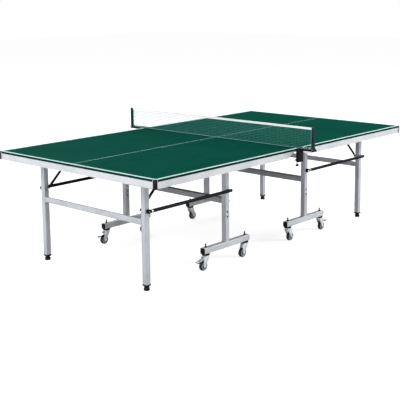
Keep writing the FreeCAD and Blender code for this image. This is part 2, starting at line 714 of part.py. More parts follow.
def check():
    """Stops with the name of any object that failed or has a bad shape."""
    for item in doc.Objects:
        if "Invalid" in item.State or "Error" in item.State:
            raise RuntimeError(f"{item.Name} did not recompute: {item.State}")
    for item in nodes:
        if item.Shape.isNull() or not item.Shape.isValid() or not item.Shape.Solids:
            raise RuntimeError(f"{item.Label} has no valid solid")


build()
doc.recompute()
check()
os.makedirs("parts", exist_ok=True)
for finished in nodes:
    finished.Shape.exportStep(f"parts/{finished.Label}.step")
print(f"{len(nodes)} sub-parts written")
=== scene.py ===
"""Folding table tennis table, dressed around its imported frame.

Metres. +X runs along the table, +Y across it, +Z up, and the floor is at zero. Every
piece takes its place from the frame's own nodes and joints.
"""
import json
import logging
import math
from dataclasses import dataclass, field
from enum import Enum
from typing import Iterable, Optional, Sequence, Union

import bmesh
import bpy
from mathutils import Matrix, Vector


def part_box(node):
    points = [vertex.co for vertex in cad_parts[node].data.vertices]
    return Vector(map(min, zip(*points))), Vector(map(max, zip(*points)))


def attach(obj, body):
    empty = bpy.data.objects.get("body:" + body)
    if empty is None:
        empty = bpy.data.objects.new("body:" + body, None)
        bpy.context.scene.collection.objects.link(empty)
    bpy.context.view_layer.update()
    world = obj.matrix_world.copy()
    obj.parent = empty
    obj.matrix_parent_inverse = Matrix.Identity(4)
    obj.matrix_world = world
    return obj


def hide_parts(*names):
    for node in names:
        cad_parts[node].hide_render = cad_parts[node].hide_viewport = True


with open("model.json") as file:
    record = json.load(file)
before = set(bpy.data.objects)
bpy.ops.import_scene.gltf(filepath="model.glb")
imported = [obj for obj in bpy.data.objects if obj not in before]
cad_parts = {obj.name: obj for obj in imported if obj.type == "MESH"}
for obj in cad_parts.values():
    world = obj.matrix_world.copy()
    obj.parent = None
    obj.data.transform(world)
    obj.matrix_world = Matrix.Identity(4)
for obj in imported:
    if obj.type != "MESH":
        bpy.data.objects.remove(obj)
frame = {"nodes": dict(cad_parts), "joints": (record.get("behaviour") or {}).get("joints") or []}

LOG = logging.getLogger("table")
MM = 0.001
FULL_TURN = 2 * math.pi
MERGE = 0.000001
EDGES = (-1, 1)
PIVOT_WASHER = (0.0105, 0.004, 0.0012)
LOCK_NUT = (0.015, 0.006)
BOLT_SHANK = 0.005
CHANNEL_WALL = 0.003


class Half(Enum):
    """The two halves of the table, with the sign of X on each."""

    LEFT = -1
    RIGHT = 1

    @property
    def label(self) -> str:
        """Name that the frame's nodes and bodies start with."""
        return self.name.lower()


class Side(Enum):
    """The two long sides of the table, with the sign of Y on each."""

    NEAR = -1
    FAR = 1

    @property
    def label(self) -> str:
        """Name that the frame's nodes use for this side."""
        return self.name.lower()


class Corner(Enum):
    """The two casters of a beam. The outer one has the brake."""

    OUTER = 1
    INNER = -1

    @property
    def label(self) -> str:
        """Name that the frame's nodes use for this caster."""
        return self.name.lower()


class Slot(Enum):
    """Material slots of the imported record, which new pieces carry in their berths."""

    RAIL = "rail_paint"
    BLACK = "black_metal"
    PLASTIC = "black_plastic"
    ZINC = "zinc"
    TYRE = "caster_tyre"
    NET = "net_fabric"


# ------------------------------------------------------------------ shader maths

Value = Union["Signal", float, int]


class Signal:
    """A number on a shader socket, on which arithmetic can be written."""

    def __init__(self, recipe: "Recipe", socket: bpy.types.NodeSocket) -> None:
        """Wraps a socket.

        Args:
            recipe: The recipe whose node tree holds the socket.
            socket: The output socket.
        """
        self.recipe = recipe
        self.socket = socket

    def _math(self, operation: str, first: Value, second: Value = 0.0) -> "Signal":
        """Adds one Math node and returns its result."""
        sockets = {0: first, 1: second}
        return self.recipe.node("ShaderNodeMath", {"operation": operation}, sockets)

    def __add__(self, other: Value) -> "Signal":
        """Sum."""
        return self._math("ADD", self, other)

    __radd__ = __add__

    def __sub__(self, other: Value) -> "Signal":
        """Difference."""
        return self._math("SUBTRACT", self, other)

    def __rsub__(self, other: Value) -> "Signal":
        """Difference from a number."""
        return self._math("SUBTRACT", other, self)

    def __mul__(self, other: Value) -> "Signal":
        """Product."""
        return self._math("MULTIPLY", self, other)

    __rmul__ = __mul__

    def __gt__(self, other: Value) -> "Signal":
        """One where this is the greater, and zero elsewhere."""
        return self._math("GREATER_THAN", self, other)

    def __lt__(self, other: Value) -> "Signal":
        """One where this is the smaller, and zero elsewhere."""
        return self._math("LESS_THAN", self, other)

    def __abs__(self) -> "Signal":
        """Size without its sign."""
        return self._math("ABSOLUTE", self)

    def __or__(self, other: Value) -> "Signal":
        """The greater of the two, which joins masks."""
        return self._math("MAXIMUM", self, other)

    def __and__(self, other: Value) -> "Signal":
        """The smaller of the two, which crosses masks."""
        return self._math("MINIMUM", self, other)

    def ramp(self, low: float, high: float) -> "Signal":
        """Rises smoothly from zero to one.

        Args:
            low: Value at which it is still zero.
            high: Value at which it reaches one.

        Returns:
            The ramp.
        """
        settings = {"interpolation_type": "SMOOTHSTEP"}
        sockets = {"Value": self, "From Min": low, "From Max": high}
        return self.recipe.node("ShaderNodeMapRange", settings, sockets)

    def wave(self, per_metre: float) -> "Signal":
        """Sine of this times a number of turns in each metre."""
        return self._math("SINE", self * (per_metre * FULL_TURN))


class Recipe:
    """The node tree of one material, ending in a Principled shader."""

    def __init__(self, name: str) -> None:
        """Makes an empty material.

        Args:
            name: The material's name.
        """
        self.material = bpy.data.materials.new(name)
        self.material.use_nodes = True
        self.tree = self.material.node_tree
        self.tree.nodes.clear()
        self.shader = self.tree.nodes.new("ShaderNodeBsdfPrincipled")
        output = self.tree.nodes.new("ShaderNodeOutputMaterial")
        self.tree.links.new(self.shader.outputs["BSDF"], output.inputs["Surface"])

    def node(self, kind: str, settings: Optional[dict] = None, sockets: Optional[dict] = None,
             output: Union[int, str] = 0) -> Signal:
        """Adds a node.

        Args:
            kind: The node's type.
            settings: Properties set before any socket, such as an operation.
            sockets: Values or signals for its inputs, by name or number.
            output: The output that is wanted.

        Returns:
            The chosen output as a signal.
        """
        made = self.tree.nodes.new(kind)
        for prop, value in (settings or {}).items():
            setattr(made, prop, value)
        for key, value in (sockets or {}).items():
            if isinstance(value, Signal):
                self.tree.links.new(value.socket, made.inputs[key])
            else:
                made.inputs[key].default_value = value
        return Signal(self, made.outputs[output])

    def place(self) -> Signal:
        """Object coordinates, in metres."""
        return self.node("ShaderNodeTexCoord", output="Object")

    def axes(self, place: Signal) -> tuple[Signal, Signal, Signal]:
        """Splits a vector.

        Args:
            place: The vector.

        Returns:
            Its three parts.
        """
        split = self.node("ShaderNodeSeparateXYZ", {}, {0: place})
        outputs = split.socket.node.outputs
        return tuple(Signal(self, outputs[number]) for number in range(3))

    def stretched(self, place: Signal, scale: Sequence[float]) -> Signal:
        """Coordinates scaled unequally, which draws a noise out into streaks."""
        return self.node("ShaderNodeMapping", {}, {"Vector": place, "Scale": tuple(scale)})

    def noise(self, place: Signal, scale: float, detail: float = 3.0) -> Signal:
        """Soft noise with a mean near one half."""
        sockets = {"Vector": place, "Scale": scale, "Detail": detail, "Roughness": 0.55}
        return self.node("ShaderNodeTexNoise", {}, sockets, "Fac")

    def blend(self, share: Value, first: Union[Signal, Sequence[float]],
              second: Union[Signal, Sequence[float]]) -> Signal:
        """Colour between two colours."""
        sockets = {0: share, 6: as_colour(first), 7: as_colour(second)}
        return self.node("ShaderNodeMix", {"data_type": "RGBA"}, sockets, 2)

    def bump(self, height: Signal, strength: float, distance: float) -> None:
        """Feeds a height to the shader's normal."""
        sockets = {"Height": height, "Strength": strength, "Distance": distance}
        self.feed("Normal", self.node("ShaderNodeBump", {}, sockets, "Normal"))

    def feed(self, name: str, value: Union[Signal, float, Sequence[float]]) -> None:
        """Links a signal to one of the shader's sockets, or sets it to a value.

        Args:
            name: The socket's name.
            value: The signal, number or colour.
        """
        if isinstance(value, Signal):
            self.tree.links.new(value.socket, self.shader.inputs[name])
        else:
            self.shader.inputs[name].default_value = value

    def seen_as_glow(self, glow: float) -> None:
        """Adds light of its own to what is seen directly, which keeps a studio floor white.

        Args:
            glow: Strength of that light.
        """
        lamp = self.node("ShaderNodeEmission", {}, {"Strength": glow})
        plain = Signal(self, self.shader.outputs[0])
        both = self.node("ShaderNodeAddShader", {}, {0: lamp, 1: plain})
        seen = self.node("ShaderNodeLightPath", output="Is Camera Ray")
        mixed = self.node("ShaderNodeMixShader", {}, {0: seen, 1: plain, 2: both})
        output = next(node for node in self.tree.nodes if node.type == "OUTPUT_MATERIAL")
        self.tree.links.new(mixed.socket, output.inputs["Surface"])


def as_colour(value: Union[Signal, Sequence[float]]) -> Union[Signal, tuple]:
    """A colour with its alpha, or the signal as it is."""
    return value if isinstance(value, Signal) else (*value, 1.0)


# ------------------------------------------------------------------ finishes

@dataclass(frozen=True)
class BoardPaint:
    """Satin paint of the playing surface, with the white lines of the game."""

    green: tuple[float, float, float] = (0.0006, 0.050, 0.034)
    deep: tuple[float, float, float] = (0.0005, 0.043, 0.030)
    line: tuple[float, float, float] = (0.40, 0.57, 0.55)
    edge: tuple[float, float, float] = (0.006, 0.030, 0.022)
    underside: tuple[float, float, float] = (0.030, 0.050, 0.042)
    border: float = 0.020
    centre: float = 0.004
    face_skin: float = 0.6 * MM
    under_skin: float = 0.4 * MM

    def build(self, board: tuple[Vector, Vector], reach: float) -> bpy.types.Material:
        """Makes the paint.

        Args:
            board: Lowest and highest corner of one half's panel.
            reach: Half the length of the whole table.

        Returns:
            The material.
        """
        recipe = Recipe("board_paint")
        place = recipe.place()
        x, y, z = recipe.axes(place)
        low, high = board
        sides = abs(y) > (high.y - self.border)
        ends = abs(x) > (reach - self.border)
        middle = abs(y) < (self.centre / 2)
        lines = sides | ends | middle
        top = z > (high.z - self.face_skin)
        bottom = z < (low.z + self.under_skin)
        cloud = recipe.noise(place, 2.2, 4.0).ramp(0.3, 0.7)
        grain = recipe.noise(place, 950.0, 2.0)
        field_colour = recipe.blend(cloud, self.green, self.deep)
        painted = recipe.blend(lines, field_colour, self.line)
        edged = recipe.blend(top, self.edge, painted)
        recipe.feed("Base Color", recipe.blend(bottom, edged, self.underside))
        scuff = recipe.noise(recipe.stretched(place, (1.0, 5.0, 1.0)), 7.0, 6.0).ramp(0.35, 0.75)
        recipe.feed("Roughness", 0.46 + 0.08 * scuff - 0.06 * lines)
        recipe.feed("Specular IOR Level", 0.002)
        recipe.bump(grain * 0.6 + lines * 0.4, 0.25, 0.00008)
        return recipe.material


@dataclass(frozen=True)
class Powder:
    """Powder coat or paint on steel, with a fine orange peel."""

    name: str
    colour: tuple[float, float, float]
    roughness: float = 0.36
    metallic: float = 0.35
    peel: float = 420.0
    depth: float = 0.00012
    mottle: float = 0.08
    scuffs: float = 0.5
    gloss: float = 0.4

    def build(self) -> bpy.types.Material:
        """Makes the coat.

        Returns:
            The material.
        """
        recipe = Recipe(self.name)
        place = recipe.place()
        height = recipe.axes(place)[2]
        cloud = recipe.noise(place, 6.0, 4.0).ramp(0.25, 0.75)
        fine = recipe.noise(place, self.peel, 2.0)
        dust = recipe.noise(place, 70.0, 5.0).ramp(0.62, 0.74)
        low = 1.0 - height.ramp(0.05, 0.20)
        worn = dust * (0.12 + 0.5 * low) * self.scuffs
        lighter = tuple(min(1.0, part * (1.0 + self.mottle) + 0.004) for part in self.colour)
        darker = tuple(part * (1.0 - self.mottle) for part in self.colour)
        coat = recipe.blend(cloud, darker, lighter)
        grime = tuple(part * 0.45 + 0.01 for part in self.colour)
        recipe.feed("Base Color", recipe.blend(worn, coat, grime))
        recipe.feed("Roughness", self.roughness + 0.10 * cloud + 0.15 * worn)
        recipe.feed("Metallic", self.metallic)
        recipe.feed("Specular IOR Level", self.gloss)
        recipe.bump(fine, 0.35, self.depth)
        return recipe.material


@dataclass(frozen=True)
class Plated:
    """Zinc or chrome plate with faint drawing marks."""

    name: str
    colour: tuple[float, float, float]
    roughness: float = 0.24
    marks: float = 260.0
    metallic: float = 0.55

    def build(self) -> bpy.types.Material:
        """Makes the plate.

        Returns:
            The material.
        """
        recipe = Recipe(self.name)
        place = recipe.place()
        streaks = recipe.noise(recipe.stretched(place, (1.0, 1.0, 0.08)), self.marks, 3.0)
        bloom = recipe.noise(place, 45.0, 4.0).ramp(0.35, 0.7)
        dull = tuple(part * 0.78 for part in self.colour)
        recipe.feed("Base Color", recipe.blend(bloom * 0.6, self.colour, dull))
        recipe.feed("Roughness", self.roughness + 0.12 * bloom + 0.08 * streaks)
        recipe.feed("Metallic", self.metallic)
        recipe.bump(streaks, 0.15, 0.00005)
        return recipe.material


@dataclass(frozen=True)
class Moulded:
    """Injection-moulded plastic with a spark-eroded grain."""

    name: str
    colour: tuple[float, float, float]
    roughness: float = 0.42
    grain: float = 900.0
    depth: float = 0.0001

    def build(self) -> bpy.types.Material:
        """Makes the plastic.

        Returns:
            The material.
        """
        recipe = Recipe(self.name)
        place = recipe.place()
        pits = recipe.noise(place, self.grain, 2.0)
        flow = recipe.noise(place, 18.0, 3.0).ramp(0.3, 0.75)
        paler = tuple(part * 1.5 + 0.006 for part in self.colour)
        recipe.feed("Base Color", recipe.blend(flow * 0.5, self.colour, paler))
        recipe.feed("Roughness", self.roughness + 0.14 * flow)
        recipe.feed("Specular IOR Level", 0.14)
        recipe.bump(pits, 0.3, self.depth)
        return recipe.material


@dataclass(frozen=True)
class Rubber:
    """Caster tyre, scuffed and dusty on the tread."""

    name: str
    colour: tuple[float, float, float]
    dust: tuple[float, float, float] = (0.045, 0.044, 0.043)

    def build(self) -> bpy.types.Material:
        """Makes the rubber.

        Returns:
            The material.
        """
        recipe = Recipe(self.name)
        place = recipe.place()
        worn = recipe.noise(place, 60.0, 5.0).ramp(0.45, 0.8)
        fine = recipe.noise(place, 700.0, 3.0)
        recipe.feed("Base Color", recipe.blend(worn * 0.5, self.colour, self.dust))
        recipe.feed("Roughness", 0.62 + 0.2 * worn)
        recipe.bump(fine, 0.4, 0.00015)
        return recipe.material


@dataclass(frozen=True)
class Cloth:
    """Woven tape or net yarn. The weave runs along and across the net."""

    name: str
    colour: tuple[float, float, float]
    threads: float = 1100.0
    roughness: float = 0.75
    shade: float = 0.74

    def build(self) -> bpy.types.Material:
        """Makes the cloth.

        Returns:
            The material.
        """
        recipe = Recipe(self.name)
        place = recipe.place()
        x, y, z = recipe.axes(place)
        warp = y.wave(self.threads)
        weft = (z + x).wave(self.threads)
        weave = (warp * weft) * 0.5 + 0.5
        fluff = recipe.noise(place, 120.0, 4.0).ramp(0.3, 0.75)
        shade = tuple(part * self.shade for part in self.colour)
        recipe.feed("Base Color", recipe.blend(weave * 0.35 + fluff * 0.3, self.colour, shade))
        recipe.feed("Roughness", self.roughness + 0.1 * fluff)
        recipe.feed("Sheen Weight", 0.25)
        recipe.bump(weave, 0.5, 0.0002)
        return recipe.material


@dataclass
class Finishes:
    """Every finish of the table, made once."""

    board: bpy.types.Material
    silver: bpy.types.Material = field(default_factory=lambda: Powder(
        "silver_coat", (0.50, 0.52, 0.56), roughness=0.36, metallic=0.35).build())
    rail: bpy.types.Material = field(default_factory=lambda: Powder(
        "rail_coat", (0.54, 0.56, 0.585), roughness=0.38, metallic=0.2, scuffs=0.2).build())
    grey: bpy.types.Material = field(default_factory=lambda: Powder(
        "grey_coat", (0.33, 0.34, 0.37), roughness=0.4, metallic=0.3, scuffs=0.2).build())
    casting: bpy.types.Material = field(default_factory=lambda: Powder(
        "bracket_coat", (0.58, 0.58, 0.61), roughness=0.42, metallic=0.35, peel=300.0).build())
    black: bpy.types.Material = field(default_factory=lambda: Powder(
        "black_coat", (0.008, 0.008, 0.010), roughness=0.38, metallic=0.0, mottle=0.2,
        gloss=0.07).build())
    post: bpy.types.Material = field(default_factory=lambda: Powder(
        "net_post_coat", (0.006, 0.026, 0.024), roughness=0.3, metallic=0.0, mottle=0.15,
        gloss=0.1).build())
    plastic: bpy.types.Material = field(default_factory=lambda: Moulded(
        "black_moulding", (0.007, 0.007, 0.009)).build())
    # painted shade: the hub's grey moulding is darkened for the shadow the hub sits in inside the
    # caster
    hub: bpy.types.Material = field(default_factory=lambda: Moulded(
        "hub_moulding", (0.20, 0.205, 0.215), roughness=0.38).build())
    zinc: bpy.types.Material = field(default_factory=lambda: Plated(
        "zinc_plate", (0.86, 0.90, 0.92)).build())
    tyre: bpy.types.Material = field(default_factory=lambda: Rubber(
        "tyre_rubber", (0.018, 0.018, 0.021)).build())
    tape: bpy.types.Material = field(default_factory=lambda: Cloth(
        "white_tape", (0.97, 0.98, 0.99), shade=0.90).build())
    yarn: bpy.types.Material = field(default_factory=lambda: Cloth(
        "net_yarn", (0.030, 0.20, 0.19), threads=2200.0).build())
    hem: bpy.types.Material = field(default_factory=lambda: Cloth(
        "net_hem", (0.16, 0.36, 0.34), threads=1500.0).build())


# ------------------------------------------------------------------ mesh work

@dataclass(frozen=True)
class Berth:
    """Where a finished piece belongs: its CAD body, record slot and the nodes it stands for."""

    body: str
    slot: Slot
    nodes: tuple[str, ...] = ()


class Form:
    """A mesh under construction, shaped with bmesh operators."""

    def __init__(self) -> None:
        """Starts with nothing."""
        self.mesh = bmesh.new()

    def _edges_of(self, corners: Iterable[bmesh.types.BMVert]) -> list[bmesh.types.BMEdge]:
        """Edges that join the given corners."""
        chosen = set(corners)
        return [edge for edge in self.mesh.edges if set(edge.verts) <= chosen]

    def _faces_of(self, corners: Iterable[bmesh.types.BMVert]) -> list[bmesh.types.BMFace]:
        """Faces that the given corners bound."""
        chosen = set(corners)
        return [face for face in self.mesh.faces if set(face.verts) <= chosen]

    def _settle(self, corners: list[bmesh.types.BMVert], turn: Matrix, bevel: float,
                segments: int) -> None:
        """Bevels new corners' edges, then moves everything they became into place.

        Args:
            corners: The new corners.
            turn: Takes them into position.
            bevel: How far their edges are eased.
            segments: Steps of the easing.
        """
        if bevel > 0:
            bmesh.ops.recalc_face_normals(self.mesh, faces=self._faces_of(corners))
            sharp = [edge for edge in self._edges_of(corners) if edge.calc_face_angle(0.0) > 0.5]
            made = bmesh.ops.bevel(self.mesh, geom=sharp, offset=bevel, segments=segments,
                                   profile=0.5, affect="EDGES", material=-1, clamp_overlap=True)
            corners = list({*[v for v in corners if v.is_valid], *made["verts"]})
        bmesh.ops.transform(self.mesh, matrix=turn, verts=corners)
        bmesh.ops.recalc_face_normals(self.mesh, faces=self._faces_of(corners))

    def block(self, place: Matrix) -> "Form":
        """Adds a bare box, for shapes that are repeated hundreds of times."""
        bmesh.ops.create_cube(self.mesh, size=1.0, matrix=place)
        return self

    def taper(self, place: Matrix, low: float, high: float, depth: float,
              bevel: float = 0.0) -> "Form":
        """Adds a square block that widens upwards.

        Args:
            place: Takes its middle and axis, Z, into position.
            low: Half its width at the foot.
            high: Half its width at the top.
            depth: Its height.
            bevel: How far its edges are eased.

        Returns:
            This form.
        """
        square = Matrix.Rotation(math.radians(45), 4, "Z")
        made = bmesh.ops.create_cone(self.mesh, cap_ends=True, segments=4,
                                     radius1=low * math.sqrt(2), radius2=high * math.sqrt(2),
                                     depth=depth)
        self._settle(made["verts"], place @ square, bevel, 2)
        return self

    def slab(self, centre: Sequence[float], size: Sequence[float], bevel: float = 0.0005,
             segments: int = 2, turn: Optional[Matrix] = None) -> "Form":
        """Adds a box with eased edges.

        Args:
            centre: Its middle.
            size: Its full length along X, Y and Z before it is turned.
            bevel: How far its edges are eased.
            segments: Steps of the easing.
            turn: A rotation about its middle.

        Returns:
            This form.
        """
        made = bmesh.ops.create_cube(self.mesh, size=1.0, matrix=Matrix.Diagonal((*size, 1.0)))
        place = Matrix.Translation(centre) @ (turn or Matrix.Identity(4))
        self._settle(made["verts"], place, bevel, segments)
        return self

    def plate(self, outline: Sequence[Sequence[float]], depth: float, place: Matrix,
              bevel: float = 0.0005, segments: int = 2) -> "Form":
        """Adds an outline drawn flat and extruded both ways about its own plane.

        Args:
            outline: Corners in the plate's own plane.
            depth: Its full thickness.
            place: Takes the plate's plane and thickness, X Y and Z, into position.
            bevel: How far its edges are eased.
            segments: Steps of the easing.

        Returns:
            This form.
        """
        corners = [self.mesh.verts.new((across, up, -depth / 2)) for across, up in outline]
        face = self.mesh.faces.new(corners)
        raised = bmesh.ops.extrude_face_region(self.mesh, geom=[face])
        tops = [item for item in raised["geom"] if isinstance(item, bmesh.types.BMVert)]
        bmesh.ops.translate(self.mesh, vec=(0, 0, depth), verts=tops)
        self._settle(corners + tops, place, bevel, segments)
        return self

    def lathe(self, outline: Sequence[Sequence[float]], place: Matrix, steps: int = 40) -> "Form":
        """Adds a turned shape.

        Args:
            outline: Radius and height of each point, closed or ending on the axis.
            place: Takes the turning axis, Z, into position.
            steps: Facets in the full turn.

        Returns:
            This form.
        """
        points = [self.mesh.verts.new((radius, 0, height)) for radius, height in outline]
        pairs = list(zip(points, points[1:]))
        if outline[0][0] > 0 or outline[-1][0] > 0:
            pairs.append((points[-1], points[0]))
        lines = [self.mesh.edges.new(pair) for pair in pairs]
        before = {vert for vert in self.mesh.verts} - set(points)
        bmesh.ops.spin(self.mesh, geom=points + lines, cent=(0, 0, 0), axis=(0, 0, 1),
                       dvec=(0, 0, 0), angle=FULL_TURN, steps=steps, use_merge=True,
                       use_duplicate=False)
        made = [vert for vert in self.mesh.verts if vert not in before]
        bmesh.ops.remove_doubles(self.mesh, verts=made, dist=MERGE)
        made = [vert for vert in self.mesh.verts if vert not in before]
        self._settle(made, place, 0.0, 1)
        return self

    def hexagon(self, place: Matrix, across: float, depth: float, bevel: float = 0.0006) -> "Form":
        """Adds a six-sided nut or bolt head, centred on its placement.

        Args:
            place: Takes its axis, Z, into position.
            across: Distance between opposite flats.
            depth: Its height.
            bevel: How far its edges are eased.

        Returns:
            This form.
        """
        radius = across / math.sqrt(3)
        made = bmesh.ops.create_cone(self.mesh, cap_ends=True, segments=6, radius1=radius,
                                     radius2=radius, depth=depth)
        self._settle(made["verts"], place, bevel, 2)
        return self

    def finish(self, name: str, paint: bpy.types.Material, berth: Berth,
               crease: float = 35.0) -> bpy.types.Object:
        """Turns the form into a named piece on its body.

        Args:
            name: The piece's name.
            paint: Its finish.
            berth: Its body, slot and the nodes it stands for.
            crease: Edges sharper than this many degrees stay sharp.

        Returns:
            The piece.
        """
        data = bpy.data.meshes.new(name)
        self.mesh.to_mesh(data)
        self.mesh.free()
        data.shade_smooth()
        data.set_sharp_from_angle(angle=math.radians(crease))
        data.materials.append(paint)
        piece = bpy.data.objects.new(name, data)
        bpy.context.scene.collection.objects.link(piece)
        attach(piece, berth.body)
        if berth.nodes:
            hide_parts(*berth.nodes)
        LOG.info("%s: %d faces on %s", name, len(data.polygons), berth.body)
        return piece


def at(x: float, y: float, z: float) -> Matrix:
    """Placement with no turn."""
    return Matrix.Translation((x, y, z))


def along_y(x: float, y: float, z: float, sense: float = 1.0) -> Matrix:
    """Placement that lays Z along Y, or along -Y when the sense is negative."""
    return Matrix.Translation((x, y, z)) @ Matrix.Rotation(math.radians(-90 * sense), 4, "X")


def along_x(x: float, y: float, z: float, sense: float = 1.0) -> Matrix:
    """Placement that lays Z along X, or along -X when the sense is negative."""
    return Matrix.Translation((x, y, z)) @ Matrix.Rotation(math.radians(90 * sense), 4, "Y")


def side_view(x: float, y: float, z: float, sense: float = 1.0) -> Matrix:
    """Placement that stands a drawing of X and Z up, mirrored in X when the sense is negative."""
    stand = Matrix.Rotation(math.radians(90), 4, "X")
    return Matrix.Translation((x, y, z)) @ Matrix.Scale(sense, 4, (1, 0, 0)) @ stand


def arc(centre: Sequence[float], radius: float, start: float, stop: float,
        steps: int) -> list[tuple[float, float]]:
    """Points on an arc.

    Args:
        centre: Its centre.
        radius: Its radius.
        start: Its first angle, in degrees.
        stop: Its last angle, in degrees.
        steps: How many steps it is cut into.

    Returns:
        The points, one more than the steps.
    """
    points = []
    for step in range(steps + 1):
        angle = math.radians(start + (stop - start) * step / steps)
        points.append((centre[0] + radius * math.cos(angle), centre[1] + radius * math.sin(angle)))
    return points


def joint_place(name: str) -> Vector:
    """Where a named joint of the frame is."""
    joint = next(item for item in frame["joints"] if item["name"] == name)
    return Vector(joint["pos_m"])


def both_ways(outline: Sequence[Sequence[float]]) -> list[tuple[float, float]]:
    """Closes a turned outline with the mirror of its lower half."""
    return [*outline, *((across, -up) for across, up in reversed(outline))]


# ------------------------------------------------------------------ fasteners

class Fasteners:
    """Standard hardware that several sub-assemblies share."""

    @staticmethod
    def thread(form: Form, place: Matrix, radius: float, low: float, high: float,
               pitch: float = 0.0013) -> None:
        """Adds a threaded shank.

        Args:
            form: The form that it is added to.
            place: Takes the shank's axis, Z, into position.
            radius: Outer radius of the thread.
            low: Where it starts along its axis.
            high: Where it ends.
            pitch: Distance between crests.
        """
        turns = int((high - low) / pitch)
        outline = [(0.0, low)]
        for turn in range(turns):
            outline.append((radius * 0.86, low + turn * pitch))
            outline.append((radius, low + (turn + 0.5) * pitch))
        outline += [(radius * 0.8, high), (0.0, high)]
        form.lathe(outline, place, 16)

    @staticmethod
    def washer(form: Form, place: Matrix, radius: float, bore: float, thick: float) -> None:
        """Adds a flat washer with eased edges, lying on its placement's plane.

        Args:
            form: The form that it is added to.
            place: Takes its axis, Z, into position.
            radius: Its outer radius.
            bore: Its inner radius.
            thick: Its thickness.
        """
        ease = thick * 0.25
        outline = [(bore, 0), (radius - ease, 0), (radius, ease), (radius, thick - ease),
                   (radius - ease, thick), (bore, thick)]
        form.lathe(outline, place, 32)

    @staticmethod
    def dome(form: Form, place: Matrix, radius: float, tall: float) -> None:
        """Adds a carriage bolt's domed head, rising from its placement's plane.

        Args:
            form: The form that it is added to.
            place: Takes its axis, Z, into position.
            radius: Its radius.
            tall: Its height.
        """
        outline = [(0.0, 0.0), (radius * 0.97, 0.0), (radius, tall * 0.18),
                   (radius * 0.92, tall * 0.5), (radius * 0.7, tall * 0.8),
                   (radius * 0.4, tall * 0.95), (0.0, tall)]
        form.lathe(outline, place, 32)

    @staticmethod
    def lock_nut(form: Form, place: Matrix, across: float, tall: float) -> None:
        """Adds a hexagon nut with the collar of its locking ring, rising from its plane.

        Args:
            form: The form that it is added to.
            place: Takes its axis, Z, into position.
            across: Distance between opposite flats.
            tall: Its height with the collar.
        """
        form.hexagon(place @ at(0, 0, tall * 0.36), across, tall * 0.72)
        collar = [(across * 0.28, tall * 0.7), (across * 0.44, tall * 0.7), (across * 0.40, tall),
                  (across * 0.28, tall * 0.94)]
        form.lathe(collar, place, 24)


@dataclass(frozen=True)
class Stance:
    """Where the uprights of one half stand, from the frame's joints."""

    half: Half
    post: float
    leg: float
    across: float
    pivot: float
    link: float
    tube: float = 0.038

    @classmethod
    def of(cls, half: Half) -> "Stance":
        """Reads one half's joints.

        Args:
            half: The half.

        Returns:
            Its stance.
        """
        fold = joint_place(f"{half.label}_top_fold")
        leg = joint_place(f"{half.label}_stay_swing")
        swivel = joint_place(f"{half.label}_near_outer_swivel_turn")
        return cls(half, abs(fold.x), abs(leg.x), abs(swivel.y), fold.z, leg.z)

    def x(self, offset: float) -> float:
        """A distance from the net, as a place on X."""
        return self.half.value * offset

    def face(self, side: Side) -> float:
        """Y of the tubes' outer face on one side."""
        return side.value * (self.across + self.tube / 2)


def dress(node: str, paint: bpy.types.Material) -> None:
    """Gives a CAD node its finish and keeps its shape.

    Args:
        node: The node's name.
        paint: The finish.
    """
    target = frame["nodes"][node]
    if not target.material_slots:
        target.data.materials.append(paint)
    for slot in target.material_slots:
        slot.material = paint
    LOG.info("%s: dressed in %s", node, paint.name)


def rounded(wide: float, tall: float, radius: float, steps: int = 5) -> list[tuple[float, float]]:
    """Outline of a rectangle with rounded corners, about its middle.

    Args:
        wide: Its width.
        tall: Its height.
        radius: Radius of the corners.
        steps: Steps in each corner.

    Returns:
        Its points.
    """
    across, up = wide / 2 - radius, tall / 2 - radius
    points = []
    for quarter, (x, y) in enumerate(((across, up), (-across, up), (-across, -up), (across, -up))):
        points += arc((x, y), radius, 90 * quarter, 90 * quarter + 90, steps)
    return points


